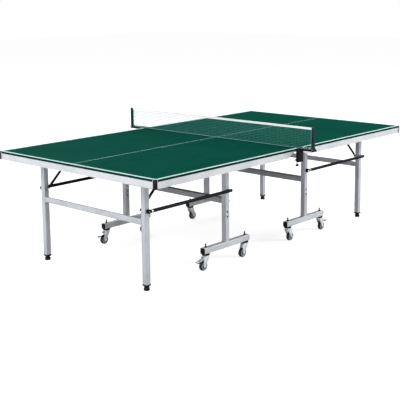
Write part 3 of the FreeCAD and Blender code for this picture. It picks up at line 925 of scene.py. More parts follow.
@dataclass
class Assembly:
    """Sub-assembly of one half, which puts its pieces on the frame's bodies."""

    half: Half
    finishes: Finishes

    @property
    def label(self) -> str:
        """Name that its nodes, bodies and pieces start with."""
        return self.half.label

    @property
    def stance(self) -> Stance:
        """Where this half's uprights stand."""
        return Stance.of(self.half)

    def box(self, node: str) -> tuple[Vector, Vector]:
        """Lowest and highest corner of one of its nodes."""
        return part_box(f"{self.label}_{node}")

    def dress(self, node: str, paint: bpy.types.Material) -> None:
        """Gives one of its nodes a finish and keeps the node's shape."""
        dress(f"{self.label}_{node}", paint)

    def piece(self, form: Form, name: str, paint: bpy.types.Material, slot: Slot, body: str,
              node: str = "") -> None:
        """Finishes a form as one of its pieces.

        Args:
            form: The finished shape.
            name: The piece's name, without the label.
            paint: Its finish.
            slot: Its slot in the record.
            body: The CAD body that it rides on, without the label.
            node: The CAD node that it stands for, without the label, if there is one.
        """
        nodes = (f"{self.label}_{node}",) if node else ()
        form.finish(f"{self.label}_{name}", paint, Berth(f"{self.label}_{body}", slot, nodes))

    def pivot_bolt(self, form: Form, x: float, side: Side) -> None:
        """Adds the bolt on which an upright carries the top, with its nut inside the channel.

        Args:
            form: The form that it is added to.
            x: The upright's place along the table.
            side: The upright's side.
        """
        stance, sense = self.stance, side.value
        face, head, head_low, past_nut = stance.face(side), 0.009, 0.003, 0.008
        flange = self.box("under_frame")[1].y - CHANNEL_WALL
        Fasteners.washer(form, along_y(x, face, stance.pivot, sense), *PIVOT_WASHER)
        Fasteners.dome(form, along_y(x, face + sense * MM, stance.pivot, sense), head, head_low)
        Fasteners.thread(form, along_y(x, face, stance.pivot, -sense), BOLT_SHANK, 0.0,
                         abs(face) - flange + past_nut)
        Fasteners.lock_nut(form, along_y(x, sense * flange, stance.pivot, -sense), *LOCK_NUT)

    def rod_bolt(self, form: Form, x: float, side: Side, out: float, head: Sequence[float],
                 nut_y: float, past_nut: float) -> None:
        """Adds the bolt that holds a rod's end to an upright.

        Args:
            form: The form that it is added to.
            x: The upright's place along the table.
            side: The upright's side.
            out: How far the head's seat stands out from the tube.
            head: Radius and height of the head.
            nut_y: Distance from the table's middle line to the nut's seat.
            past_nut: How far the thread runs on past that seat.
        """
        stance, sense = self.stance, side.value
        seat = abs(stance.face(side)) + out
        Fasteners.dome(form, along_y(x, sense * seat, stance.link, sense), *head)
        Fasteners.thread(form, along_y(x, sense * seat, stance.link, -sense), BOLT_SHANK, 0.0,
                         seat - nut_y + past_nut)
        Fasteners.lock_nut(form, along_y(x, sense * nut_y, stance.link, -sense), *LOCK_NUT)


# ------------------------------------------------------------------ rolling base

@dataclass
class Carriage(Assembly):
    """Rolling base of one half: two posts on beams, tied by a bar."""

    rod_out: float = 0.0215
    rod_head: tuple[float, float] = (0.009, 0.004)
    rod_past_nut: float = 0.0075
    splice: float = 0.0112
    splice_bore: float = 0.76
    splice_levels: tuple[float, float] = (0.326, 0.361)
    latch_level: float = 0.632
    latch_size: tuple[float, float, float] = (0.026, 0.0026, 0.074)
    latch_pitch: float = 0.019
    latch_stud: tuple[float, float] = (0.0048, 0.0010)
    saddle: float = 0.0270
    saddle_core: float = 0.0204
    saddle_tall: float = 0.0058
    saddle_drop: float = 0.006
    stud: float = 0.005
    stud_drop: float = 0.030
    stud_rise: float = 0.026
    stud_washer: tuple[float, float, float] = (0.0115, 0.004, 0.0012)
    stud_nut: tuple[float, float] = (0.016, 0.0065)
    cap_wall: float = 0.004
    cap_panel: float = 0.014
    plug_long: float = 0.016

    def build(self) -> None:
        """Dresses the tubes and builds everything fixed to them."""
        self.dress("carriage_posts", self.finishes.silver)
        # painted shade: the inner bar takes the grey coat, a darker copy of the silver, for the
        # shade of the table top over it
        self.dress("inner_bar", self.finishes.grey)
        self.dress("base_beams", self.finishes.rail)
        self.bolts()
        self.splices()
        self.latches()
        self.saddles()
        self.beam_caps()

    def bolts(self) -> None:
        """Pivot and rod bolts, and the nuts on the caster studs."""
        form, studs, stance = Form(), Form(), self.stance
        x = stance.x(stance.post)
        beam_top = self.box("base_beams")[1].z
        spacing = [abs(joint_place(f"{self.label}_near_{corner.label}_swivel_turn").x)
                   for corner in Corner]
        for side in Side:
            self.pivot_bolt(form, x, side)
            self.rod_bolt(form, x, side, self.rod_out, self.rod_head,
                          stance.across - stance.tube / 2, self.rod_past_nut)
            for away in spacing:
                place = at(stance.x(away), side.value * stance.across, beam_top)
                Fasteners.washer(form, place, *self.stud_washer)
                Fasteners.lock_nut(studs, place @ at(0, 0, MM), *self.stud_nut)
                Fasteners.thread(studs, place, self.stud, -self.stud_drop, self.stud_rise)
        self.piece(studs, "caster_studs", self.finishes.black, Slot.BLACK, "carriage")
        self.piece(form, "frame_bolt_set", self.finishes.zinc, Slot.ZINC, "carriage", "frame_bolts")

    def splices(self) -> None:
        """Bright rings of the two height-setting bolts on each post, with black discs in their
        bores as painted shade of the deep recesses.
        """
        rings, sockets, stance = Form(), Form(), self.stance
        bore, lip = self.splice * self.splice_bore, 0.0006
        ring = [(bore - lip, 0.0), (self.splice, 0.0), (self.splice * 1.02, 0.0010),
                (self.splice * 0.88, 0.0026), (bore, 0.0028), (bore - lip, 0.0018)]
        for side in Side:
            for level in self.splice_levels:
                for sense in reversed(EDGES):
                    out = sense * side.value
                    face = side.value * (stance.across + out * stance.tube / 2)
                    place = along_y(stance.x(stance.post), face, level, sense)
                    rings.lathe(ring, place, 28)
                    # painted shade: a black disc in each ring's bore stands in for the darkness of
                    # the bolt's deep recess
                    Fasteners.dome(sockets, place, bore, 0.0020)
        self.piece(rings, "splice_rings", self.finishes.zinc, Slot.ZINC, "carriage")
        self.piece(sockets, "splice_sockets", self.finishes.plastic, Slot.PLASTIC, "carriage")

    def latches(self) -> None:
        """Thin black latch plates on the inner faces of the posts, with three bright studs each."""
        plates, studs, stance = Form(), Form(), self.stance
        x = stance.x(stance.post)
        for side in Side:
            sense = side.value
            face = sense * (stance.across - stance.tube / 2)
            plates.slab((x, face - sense * 0.0010, self.latch_level), self.latch_size, 0.0009)
            for step in (-1, 0, 1):
                level = self.latch_level + step * self.latch_pitch
                place = along_y(x, face - sense * 0.0022, level, -sense)
                Fasteners.dome(studs, place, *self.latch_stud)
        self.piece(plates, "latch_plates", self.finishes.black, Slot.BLACK, "carriage")
        self.piece(studs, "latch_studs", self.finishes.zinc, Slot.ZINC, "carriage")

    def saddles(self) -> None:
        """Black mounting pads between the beams and the casters."""
        form = Form()
        level = self.box("base_beams")[0].z - self.saddle_drop
        pad = [(0.0, -0.0001), (self.saddle_core, -0.0001), (self.saddle_core, -0.0046),
               (self.saddle * 0.90, -0.0046), (self.saddle, -0.0018), (self.saddle, 0.0046),
               (self.saddle * 0.97, self.saddle_tall), (0.0, self.saddle_tall)]
        for side in Side:
            for corner in Corner:
                joint = joint_place(f"{self.label}_{side.label}_{corner.label}_swivel_turn")
                form.lathe(pad, at(joint.x, joint.y, level), 40)
        self.piece(form, "caster_saddles", self.finishes.black, Slot.BLACK, "carriage")

    def beam_caps(self) -> None:
        """Plugs that close the ends of the beams."""
        form, wide = Form(), self.stance.tube
        low, high = self.box("base_beams")
        tall, middle = high.z - low.z, (high.z + low.z) / 2
        for side in Side:
            for end, out in ((low.x, -1), (high.x, 1)):
                place = along_x(end, side.value * self.stance.across, middle, 1.0)
                cap = place @ at(0, 0, out * self.cap_wall / 2)
                form.plate(rounded(tall - 0.0004, wide - 0.0004, 0.0045), self.cap_wall, cap,
                           0.0012, 3)
                panel = place @ at(0, 0, out * (self.cap_wall + 0.0001))
                form.plate(rounded(tall - self.cap_panel, wide - self.cap_panel, 0.003), 0.0014,
                           panel, 0.0006)
                plug = place @ at(0, 0, -out * self.plug_long / 2)
                form.plate(rounded(tall - 0.0048, wide - 0.0048, 0.002), self.plug_long, plug,
                           0.0006)
        self.piece(form, "beam_plugs", self.finishes.plastic, Slot.PLASTIC, "carriage", "beam_caps")


# ------------------------------------------------------------------ casters

@dataclass
class Caster(Assembly):
    """One swivel caster: pressed fork, tyre on a moulded hub, and a brake on the outer ones."""

    side: Side
    corner: Corner
    tread: float = 0.032
    rim: float = 0.0205
    tyre_wide: float = 0.024
    cheek_gap: float = 0.029
    cheek: float = 0.0025
    crown: float = 0.095
    race: float = 0.019
    crown_long: float = 0.041
    crown_off: float = 0.006
    axle_half: float = 0.018
    axle: float = 0.0038
    axle_nut: tuple[float, float] = (0.0125, 0.0052)
    axle_washer: tuple[float, float, float] = (0.0085, 0.003, 0.001)
    spokes: int = 6
    spoke: tuple[float, float, float] = (0.0085, 0.0016, 0.005)
    spoke_in: float = 0.0133
    spoke_out: float = 0.0075
    pedal_wide: float = 0.023
    pedal_wall: float = 0.0024
    pedal_lean: float = 6.5
    grips: int = 4
    grip_start: tuple[float, float] = (0.0765, 0.0704)
    grip_step: tuple[float, float] = (0.0052, -0.00058)

    def __post_init__(self) -> None:
        """Reads the swivel's and the wheel's places."""
        self.swivel = joint_place(f"{self.label}_swivel_turn")
        self.hub = joint_place(f"{self.label}_wheel_spin")
        self.sense = self.half.value

    @property
    def label(self) -> str:
        """Name that its nodes, bodies and pieces start with."""
        return f"{self.half.label}_{self.side.label}_{self.corner.label}"

    def build(self) -> None:
        """Builds the caster's pieces."""
        self.fork()
        self.wheel()
        if self.corner is Corner.OUTER:
            self.pedal()

    def drawing(self, across: float) -> Matrix:
        """Places a side view, drawn from the swivel's axis, at a distance across."""
        return side_view(self.swivel.x, self.swivel.y + across, 0.0, self.sense)

    def fork(self) -> None:
        """Ball race, crown and two cheeks with a pressed rib."""
        form = Form()
        trail = abs(self.hub.x - self.swivel.x)
        height = self.hub.z
        race = [(0.0, 0.0962), (self.race * 0.9, 0.0962), (self.race, 0.0975), (self.race, 0.0995),
                (self.race * 0.88, 0.1005), (self.race * 0.88, 0.1012), (self.race * 0.97, 0.1020),
                (self.race * 0.97, 0.1045), (self.race * 0.86, 0.1058), (0.0, 0.1058)]
        form.lathe(race, at(self.swivel.x, self.swivel.y, 0.0), 40)
        crown = at(self.swivel.x + self.sense * self.crown_off, self.swivel.y, self.crown - 0.0005)
        form.plate(rounded(self.crown_long, self.cheek_gap + 2 * self.cheek, 0.006), 0.003, crown,
                   0.0009, 3)
        cheek = [(-0.0145, self.crown), (-0.0145, self.crown - 0.008), (-0.008, 0.073),
                 (0.004, 0.055), (0.0125, 0.041)]
        cheek += arc((trail, height), 0.0115, 165, 375, 14)
        cheek += [(0.0365, 0.050), (0.033, 0.072), (0.0275, self.crown - 0.006),
                  (0.0265, self.crown)]
        rib = [(-0.004, 0.086), (0.003, 0.071), (0.0135, 0.052), (0.0195, 0.040), (0.0325, 0.040),
               (0.030, 0.056), (0.026, 0.074), (0.020, 0.086)]
        for edge in EDGES:
            across = edge * (self.cheek_gap + self.cheek) / 2
            form.plate(cheek, self.cheek, self.drawing(across), 0.0006)
            form.plate(rib, 0.0016, self.drawing(across + edge * 0.0012), 0.0007)
            out = self.swivel.y + edge * (self.cheek_gap / 2 + self.cheek)
            place = along_y(self.hub.x, out, height, edge)
            Fasteners.washer(form, place, *self.axle_washer)
            if edge > 0:
                Fasteners.lock_nut(form, place @ at(0, 0, 0.0008), *self.axle_nut)
            else:
                form.hexagon(place @ at(0, 0, 0.0028), self.axle_nut[0], 0.004)
        axle = along_y(self.hub.x, self.swivel.y - self.axle_half, height)
        form.lathe([(0.0, 0.0), (self.axle, 0.0), (self.axle, 2 * self.axle_half),
                    (0.0, 2 * self.axle_half)], axle, 20)
        self.piece(form, "pressed_fork", self.finishes.zinc, Slot.ZINC, "swivel", "fork")

    def wheel(self) -> None:
        """Grooved tyre, and a hub with a dished web and six ribs."""
        place = along_y(self.hub.x, self.hub.y, self.hub.z)
        self.tyre(place)
        half, bands, hub = self.tyre_wide / 2, Form(), Form()
        for face in EDGES:
            inner, outer = face * (half - 0.0008), face * (half + 0.0006)
            bands.lathe([(self.rim + 0.0008, inner), (self.rim + 0.0046, inner),
                         (self.rim + 0.0042, outer), (self.rim + 0.0012, outer)], place, 40)
        self.piece(bands, "rim_bands", self.finishes.silver, Slot.TYRE, "roller")
        web = [(0.0042, half + 0.0008), (0.0085, half + 0.0008), (0.0092, half), (0.0098, 0.0060),
               (0.0165, 0.0050), (0.0175, half - 0.003), (0.0182, half - 0.0018),
               (self.rim, half - 0.0018)]
        hub.lathe(both_ways(web), place, 48)
        for turn in range(self.spokes):
            spoke = place @ Matrix.Rotation(FULL_TURN * turn / self.spokes, 4, "Z")
            for face in EDGES:
                hub.slab((0, 0, 0), self.spoke, 0.0004, 1,
                         spoke @ at(self.spoke_in, 0, face * self.spoke_out))
        self.piece(hub, "hub", self.finishes.hub, Slot.TYRE, "roller")

    def tyre(self, place: Matrix) -> None:
        """Tyre with two fine grooves round its tread.

        Args:
            place: Takes the wheel's axis, Z, into position.
        """
        form, half, rim, tread = Form(), self.tyre_wide / 2, self.rim, self.tread
        lower = [(rim, -half + 0.002), (rim + 0.003, -half + 0.0003), (tread - 0.006, -half),
                 (tread - 0.0025, -half + 0.0012), (tread - 0.0006, -half + 0.004),
                 (tread, -0.0052), (tread - 0.0008, -0.0045), (tread, -0.0038)]
        form.lathe(both_ways(lower), place, 64)
        self.piece(form, "tyre", self.finishes.tyre, Slot.TYRE, "roller", "wheel")

    def pedal(self) -> None:
        """Pressed brake pedal: a bent tread with turned-down sides and grip ribs."""
        form = Form()
        wall = self.pedal_wall
        top = [(0.018, 0.0805), (0.034, 0.0815), (0.046, 0.0795), (0.074, 0.0705), (0.092, 0.0685),
               (0.0995, 0.0705)]
        under = [(along, up - wall) for along, up in reversed(top)]
        form.plate(top + under, self.pedal_wide, self.drawing(0.0), 0.0007)
        flange = [(0.018, 0.079), (0.034, 0.080), (0.046, 0.078), (0.074, 0.069), (0.070, 0.0655),
                  (0.046, 0.0725), (0.034, 0.0740), (0.018, 0.0735)]
        for edge in EDGES:
            form.plate(flange, 0.0018, self.drawing(edge * (self.pedal_wide / 2 - 0.0009)), 0.0004)
        lean = Matrix.Rotation(math.radians(self.pedal_lean) * self.sense, 4, "Y")
        for grip in range(self.grips):
            along = self.grip_start[0] + self.grip_step[0] * grip
            up = self.grip_start[1] + self.grip_step[1] * grip
            centre = (self.swivel.x + self.sense * along, self.swivel.y, up)
            form.slab(centre, (0.0020, self.pedal_wide - 0.005, 0.0014), 0.0005, 2, lean)
        self.piece(form, "brake_tread", self.finishes.zinc, Slot.ZINC, "brake", "pedal")
        shoe = Form()
        block = [(0.030, 0.0712), (0.046, 0.0700), (0.074, 0.0628), (0.083, 0.0622),
                 (0.083, 0.0588), (0.072, 0.0588), (0.046, 0.0655), (0.030, 0.0672)]
        shoe.plate(block, self.pedal_wide - 0.0052, self.drawing(0.0), 0.0010)
        self.piece(shoe, "brake_shoe", self.finishes.plastic, Slot.PLASTIC, "brake")


# ------------------------------------------------------------------ folding legs

@dataclass
class LegFrame(Assembly):
    """Folding legs of one half, with their bolts and screw feet."""

    rod_out: float = 0.0225
    rod_head: tuple[float, float] = (0.00288, 0.0024)
    rod_past_nut: float = 0.007
    stay_eye: float = 0.0105
    base: float = 0.0188
    base_tall: float = 0.020
    flare: float = 0.0205
    neck_level: float = 0.0275
    collar_level: float = 0.0362
    collar_tall: float = 0.0056
    grips: int = 12
    grip: tuple[float, float, float] = (0.0014, 0.0030, 0.010)
    stem: float = 0.006
    stem_low: float = 0.038

    def build(self) -> None:
        """Dresses the legs and builds their bolts and feet."""
        self.dress("legs", self.finishes.silver)
        self.dress("outer_bar", self.finishes.silver)
        self.bolts()
        for side in Side:
            self.foot(side)

    def bolts(self) -> None:
        """Bolts that join the legs to the top, the rods and the stays."""
        form, x = Form(), self.stance.x(self.stance.leg)
        stay = self.box("stays")[1].y - self.stay_eye
        for side in Side:
            self.pivot_bolt(form, x, side)
            self.rod_bolt(form, x, side, self.rod_out, self.rod_head, stay, self.rod_past_nut)
        self.piece(form, "leg_bolt_set", self.finishes.zinc, Slot.ZINC, "leg_frame", "leg_pins")

    def foot(self, side: Side) -> None:
        """Screw foot: round base, neck and a square collar that flares to the tube.

        Args:
            side: The leg's side.
        """
        low, high = self.box(f"{side.label}_foot")
        middle = (low + high) / 2
        place = at(middle.x, middle.y, 0.0)
        form, stem = Form(), Form()
        base = [(0.0, 0.0), (self.base * 0.92, 0.0), (self.base * 0.98, 0.0012), (self.base, 0.003),
                (self.base, self.base_tall * 0.62), (self.base * 0.96, self.base_tall * 0.8),
                (self.base * 0.84, self.base_tall * 0.95), (0.0125, self.base_tall + 0.0008),
                (0.0115, self.base_tall + 0.004), (0.0, self.base_tall + 0.004)]
        form.lathe(base, place, 48)
        form.taper(place @ at(0, 0, self.neck_level), 0.0105, self.flare - 0.0006, 0.013, 0.0012)
        form.slab((middle.x, middle.y, self.collar_level),
                  (2 * self.flare, 2 * self.flare, self.collar_tall), 0.0018, 3)
        for turn in range(self.grips):
            spin = place @ Matrix.Rotation(FULL_TURN * turn / self.grips, 4, "Z")
            form.slab((0, 0, 0), self.grip, 0.0005, 1, spin @ at(self.base - 0.0002, 0, 0.0085))
        self.piece(form, f"{side.label}_foot_pad", self.finishes.plastic, Slot.PLASTIC,
                   f"{side.label}_foot_screw", f"{side.label}_foot")
        Fasteners.thread(stem, place, self.stem, self.stem_low, high.z)
        self.piece(stem, f"{side.label}_foot_stem", self.finishes.zinc, Slot.ZINC,
                   f"{side.label}_foot_screw")


@dataclass
class Linkage(Assembly):
    """Rods that keep the legs upright as the top swings, and the thin stays."""

    rod: float = 0.0113
    rod_in: float = 0.010
    rod_out: float = 0.0038
    knob: float = 0.0135
    knob_wide: float = 0.0215
    boss: float = 0.0112
    boss_half: float = 0.0101
    sleeve_low: float = 0.0062
    sleeve_high: float = 0.0102
    sleeve_thick: float = 0.0122
    sleeve_in: float = 0.0065
    sleeve_start: float = 0.017
    sleeve_end: float = 0.180
    stay_tip: float = 0.006
    tip: float = 0.034

    def build(self) -> None:
        """Builds the rods and dresses the stays."""
        self.dress("stays", self.finishes.black)
        black, bright = Form(), Form()
        ends = sorted((self.stance.x(self.stance.post), self.stance.x(self.stance.leg)))
        across = self.box("link_rods")[1].y - self.rod_in
        for side in Side:
            self.one_rod(black, bright, ends, side.value * across)
        self.piece(black, "rod_pair", self.finishes.black, Slot.BLACK, "links", "link_rods")
        self.piece(bright, "rod_ferrules", self.finishes.zinc, Slot.ZINC, "links")
        self.sleeves()

    def sleeves(self) -> None:
        """Black sleeves over the lower part of the two stays."""
        form, stance = Form(), self.stance
        low, high = self.box("stays")
        head_x = low.x if self.half is Half.RIGHT else high.x
        run = abs(head_x - stance.x(stance.leg)) - self.stay_tip
        rise = high.z - self.stay_tip - stance.link
        long = math.hypot(run, rise)
        ends = ((self.sleeve_start, -self.sleeve_low), (self.sleeve_start, self.sleeve_high),
                (self.sleeve_end, self.sleeve_high), (self.sleeve_end, -self.sleeve_low))
        outline = [((along * run - up * rise) / long, (along * rise + up * run) / long)
                   for along, up in ends]
        for side in Side:
            y = side.value * (high.y - self.sleeve_in)
            place = side_view(stance.x(stance.leg), y, stance.link, -self.half.value)
            form.plate(outline, self.sleeve_thick, place, 0.0042, 4)
        self.piece(form, "stay_sleeves", self.finishes.black, Slot.BLACK, "stay_pair")

    def one_rod(self, black: Form, bright: Form, ends: Sequence[float], y: float) -> None:
        """Adds one rod.

        Args:
            black: Form of the painted rods.
            bright: Form of the plated ends.
            ends: X of the knob's and of the boss's pivot.
            y: The rod's place across the table.
        """
        start, stop = ends
        height = self.stance.link
        length = stop - start
        axis = along_x(start, y + math.copysign(self.rod_out, y), height)
        shaft = [(0.0, 0.0262), (self.rod * 0.9, 0.0262), (self.rod, 0.0310),
                 (self.rod, length - 0.016),
                 (self.rod * 0.96, length - 0.012), (self.rod * 0.96, length + 0.014),
                 (self.rod, length + 0.016), (self.rod, length + 0.022), (0.0, length + 0.022)]
        black.lathe(shaft, axis, 28)
        half, side, deep = self.knob_wide / 2, self.boss, self.boss_half
        ball = [(0.0, -half), (self.knob * 0.7, -half), (self.knob * 0.9, -half + 0.0014),
                (self.knob, -half + 0.0045)]
        black.lathe(both_ways(ball), along_y(start, y, height), 40)
        neck = [(0.0, 0.006), (0.0112, 0.006), (0.0112, 0.0150), (0.0102, 0.0172), (0.0, 0.0172)]
        black.lathe(neck, axis, 28)
        boss = [(0.0, -deep), (side * 0.85, -deep), (side, -deep + 0.0015)]
        black.lathe(both_ways(boss), along_y(stop, y, height), 32)
        ferrule = [(0.0, 0.0174), (0.0090, 0.0174), (0.0100, 0.0184), (0.0100, 0.0262),
                   (0.0092, 0.0272), (0.0, 0.0272)]
        bright.lathe(ferrule, axis, 32)
        end = length + 0.0215
        point = [(0.0, end), (0.0066, end), (0.0072, end + 0.001), (0.0072, end + 0.0080),
                 (0.0056, length + self.tip - 0.0012), (0.0034, length + self.tip),
                 (0.0, length + self.tip)]
        bright.lathe(point, axis, 24)


# ------------------------------------------------------------------ swinging top

@dataclass
class SwingTop(Assembly):
    """Panel of one half with its rails, corner guards, end castings and channels."""

    rail_deep: float = 0.018
    guard: float = 0.0018
    guard_long: float = 0.0130
    guard_deep: float = 0.0215
    guard_rise: float = 0.0004
    guard_drop: float = 0.001
    # painted highlights: width, gap and shortening of the light strips beside the guards' edges
    trim_wide: float = 0.0030
    trim_gap: float = 0.0016
    trim_short: float = 0.004
    crown: tuple[float, float, float] = (0.0085, 0.0085, 0.0012)
    core: tuple[float, float] = (0.0116, 0.0172)
    core_in: float = 0.0078
    filler: tuple[float, float] = (0.0236, 0.0176)
    filler_in: float = 0.0252
    rail_in: float = 0.0100
    rib_places: tuple[float, float] = (0.006, 0.0096)
    thin_end: float = 0.007
    casting_bolts: tuple[float, float, float] = (0.20, 0.52, 0.88)
    screws: int = 6
    screw_margin: float = 0.07
    screw_in: float = 0.025

    def build(self) -> None:
        """Dresses the panel, the rails and the channels and builds the rest."""
        self.dress("top_panel", self.finishes.board)
        self.dress("apron_rails", self.finishes.rail)
        self.dress("under_frame", self.finishes.grey)
        self.corners()
        self.castings()
        self.panel_screws()

    def corners(self) -> None:
        """Guards that wrap the two outer corners, from the rail's foot to the board's face, with
        rail-coloured strips beside their edges as painted highlights.
        """
        form, painted_highlights_and_trims, inward = Form(), Form(), -self.half.value
        rail_low, rail_high = self.box("corner_caps")
        board_low, board_high = self.box("top_panel")
        end = self.half.value * max(abs(board_low.x), abs(board_high.x))
        foot, brow = rail_low.z - self.guard_drop, board_high.z + self.guard_rise
        middle, strip = (foot + brow) / 2, brow - foot - self.trim_short
        rail_mid, rail_tall = (rail_low.z + rail_high.z) / 2, rail_high.z - rail_low.z
        out = self.guard + 0.0006
        for side in Side:
            def spot(along: float, deep: float, level: float) -> tuple[float, float, float]:
                """A place measured inwards from the board's corner."""
                return end + inward * along, side.value * (board_high.y - deep), level

            self.guard_skin(form, spot(0.0, 0.0, 0.0)[:2], side, foot, brow)
            # painted highlights: the two rail-coloured strips beside each guard's edges stand in
            # for the glints on its rounded edges
            painted_highlights_and_trims.slab(spot(self.guard_long + self.trim_gap, 0.0004, middle),
                       (self.trim_wide, 0.0036, strip), 0.0006, 2)
            painted_highlights_and_trims.slab(spot(-out * 0.4, self.guard_deep + self.trim_gap, middle),
                       (out * 1.5, self.trim_wide, strip), 0.0006, 2)
            painted_highlights_and_trims.slab(spot(0.0045, 0.0045, brow + 0.0011), self.crown, 0.0005, 2)
            form.slab(spot(self.core_in, self.rail_in, rail_mid), (*self.core, rail_tall - 0.0006),
                      0.0015)
            painted_highlights_and_trims.slab(spot(self.filler_in, self.rail_in, rail_mid),
                       (*self.filler, rail_tall - 0.0002), 0.0008)
        self.piece(form, "corner_guards", self.finishes.plastic, Slot.PLASTIC, "top", "corner_caps")
        self.piece(painted_highlights_and_trims, "guard_trims", self.finishes.rail, Slot.RAIL, "top")

    def guard_skin(self, form: Form, corner: Sequence[float], side: Side, foot: float,
                   brow: float) -> None:
        """Adds the bent skin of one guard, with a lip over the board and ribs on its bend.

        Args:
            form: The form that it is added to.
            corner: X and Y of the board's corner.
            side: Its side of the table.
            foot: Its lowest level.
            brow: Its highest level.
        """
        inx, iny = -self.half.value, -side.value
        out, wall, reach, deep, bend = 0.0004, self.guard, self.guard_long, self.guard_deep, 0.0035
        outer = [(inx * reach, -iny * (out + wall)), (inx * bend, -iny * (out + wall))]
        steps = 6
        for step in range(1, steps):
            angle = math.radians(90 * step / steps)
            outer.append((inx * (bend - (bend + out + wall) * math.sin(angle)),
                          iny * (bend - (bend + out + wall) * math.cos(angle))))
        outer += [(-inx * (out + wall), iny * bend), (-inx * (out + wall), iny * deep)]
        inner = [(-inx * out, iny * deep), (-inx * out, -iny * out), (inx * reach, -iny * out)]
        place = at(corner[0], corner[1], (foot + brow) / 2)
        form.plate(outer + inner, brow - foot, place, 0.0005)
        lip = [(inx * reach, -iny * (out + wall)), (inx * bend, -iny * (out + wall)),
               (-inx * (out + wall) * 0.6, -iny * (out + wall) * 0.6),
               (-inx * (out + wall), iny * bend), (-inx * (out + wall), iny * reach),
               (inx * 0.0015, iny * reach * 0.8), (inx * 0.004, iny * 0.004),
               (inx * reach * 0.8, iny * 0.0015)]
        form.plate(lip, 0.0010, at(corner[0], corner[1], brow + 0.0002), 0.0003, 1)
        tall, mid = (brow - foot) * 0.86, (brow + foot) / 2
        for along in self.rib_places:
            form.slab((corner[0] + inx * along, corner[1] - iny * (out + wall), mid),
                      (0.0016, 0.0012, tall), 0.0004, 1)
            form.slab((corner[0] - inx * (out + wall), corner[1] + iny * along, mid),
                      (0.0012, 0.0016, tall), 0.0004, 1)

    def castings(self) -> None:
        """Castings that taper the side rails away beside the net, with a raised border."""
        form = Form()
        low, high = self.box("inner_brackets")
        long, tall = high.x - low.x, high.z - low.z
        net_end = low.x if self.half is Half.RIGHT else high.x
        sweep = [(long, -tall), (long * 0.90, -tall * 0.985), (long * 0.80, -tall * 0.92),
                 (long * 0.70, -tall * 0.80), (long * 0.61, -tall * 0.64),
                 (long * 0.52, -tall * 0.47), (long * 0.43, -tall * 0.33),
                 (long * 0.34, -tall * 0.23), (long * 0.25, -self.thin_end)]
        outline = [(0.0, -0.0004), (long, -0.0004)] + sweep + [(0.0, -self.thin_end)]
        inset = [(long - 0.008, -0.008)] + [(x - 0.010, z + 0.006) for x, z in sweep[1:6]]
        for side in Side:
            y = side.value * (high.y - self.rail_deep / 2)
            place = side_view(net_end, y, high.z, self.half.value)
            form.plate(outline, self.rail_deep - 0.0006, place, 0.0010, 3)
            face = side_view(net_end, side.value * (high.y - 0.0002), high.z, self.half.value)
            form.plate(inset, 0.0012, face, 0.0005)
            for along in self.casting_bolts:
                spot = along_y(net_end + self.half.value * long * along,
                               side.value * (high.y - 0.0004), high.z - 0.0042, side.value)
                Fasteners.dome(form, spot, 0.0026, 0.0012)
        self.piece(form, "end_castings", self.finishes.casting, Slot.RAIL, "top", "inner_brackets")

    def panel_screws(self) -> None:
        """Screws that hold the channels up to the board, beside them."""
        form, down = Form(), Matrix.Rotation(math.pi, 4, "X")
        low, high = self.box("under_frame")
        face = self.box("top_panel")[0].z
        run = high.x - low.x - 2 * self.screw_margin
        for side in Side:
            for step in range(self.screws):
                x = low.x + self.screw_margin + run * step / (self.screws - 1)
                place = at(x, side.value * (high.y - self.screw_in), face) @ down
                Fasteners.dome(form, place, 0.0042, 0.0026)
        self.piece(form, "panel_screws", self.finishes.zinc, Slot.ZINC, "top")


# ------------------------------------------------------------------ net

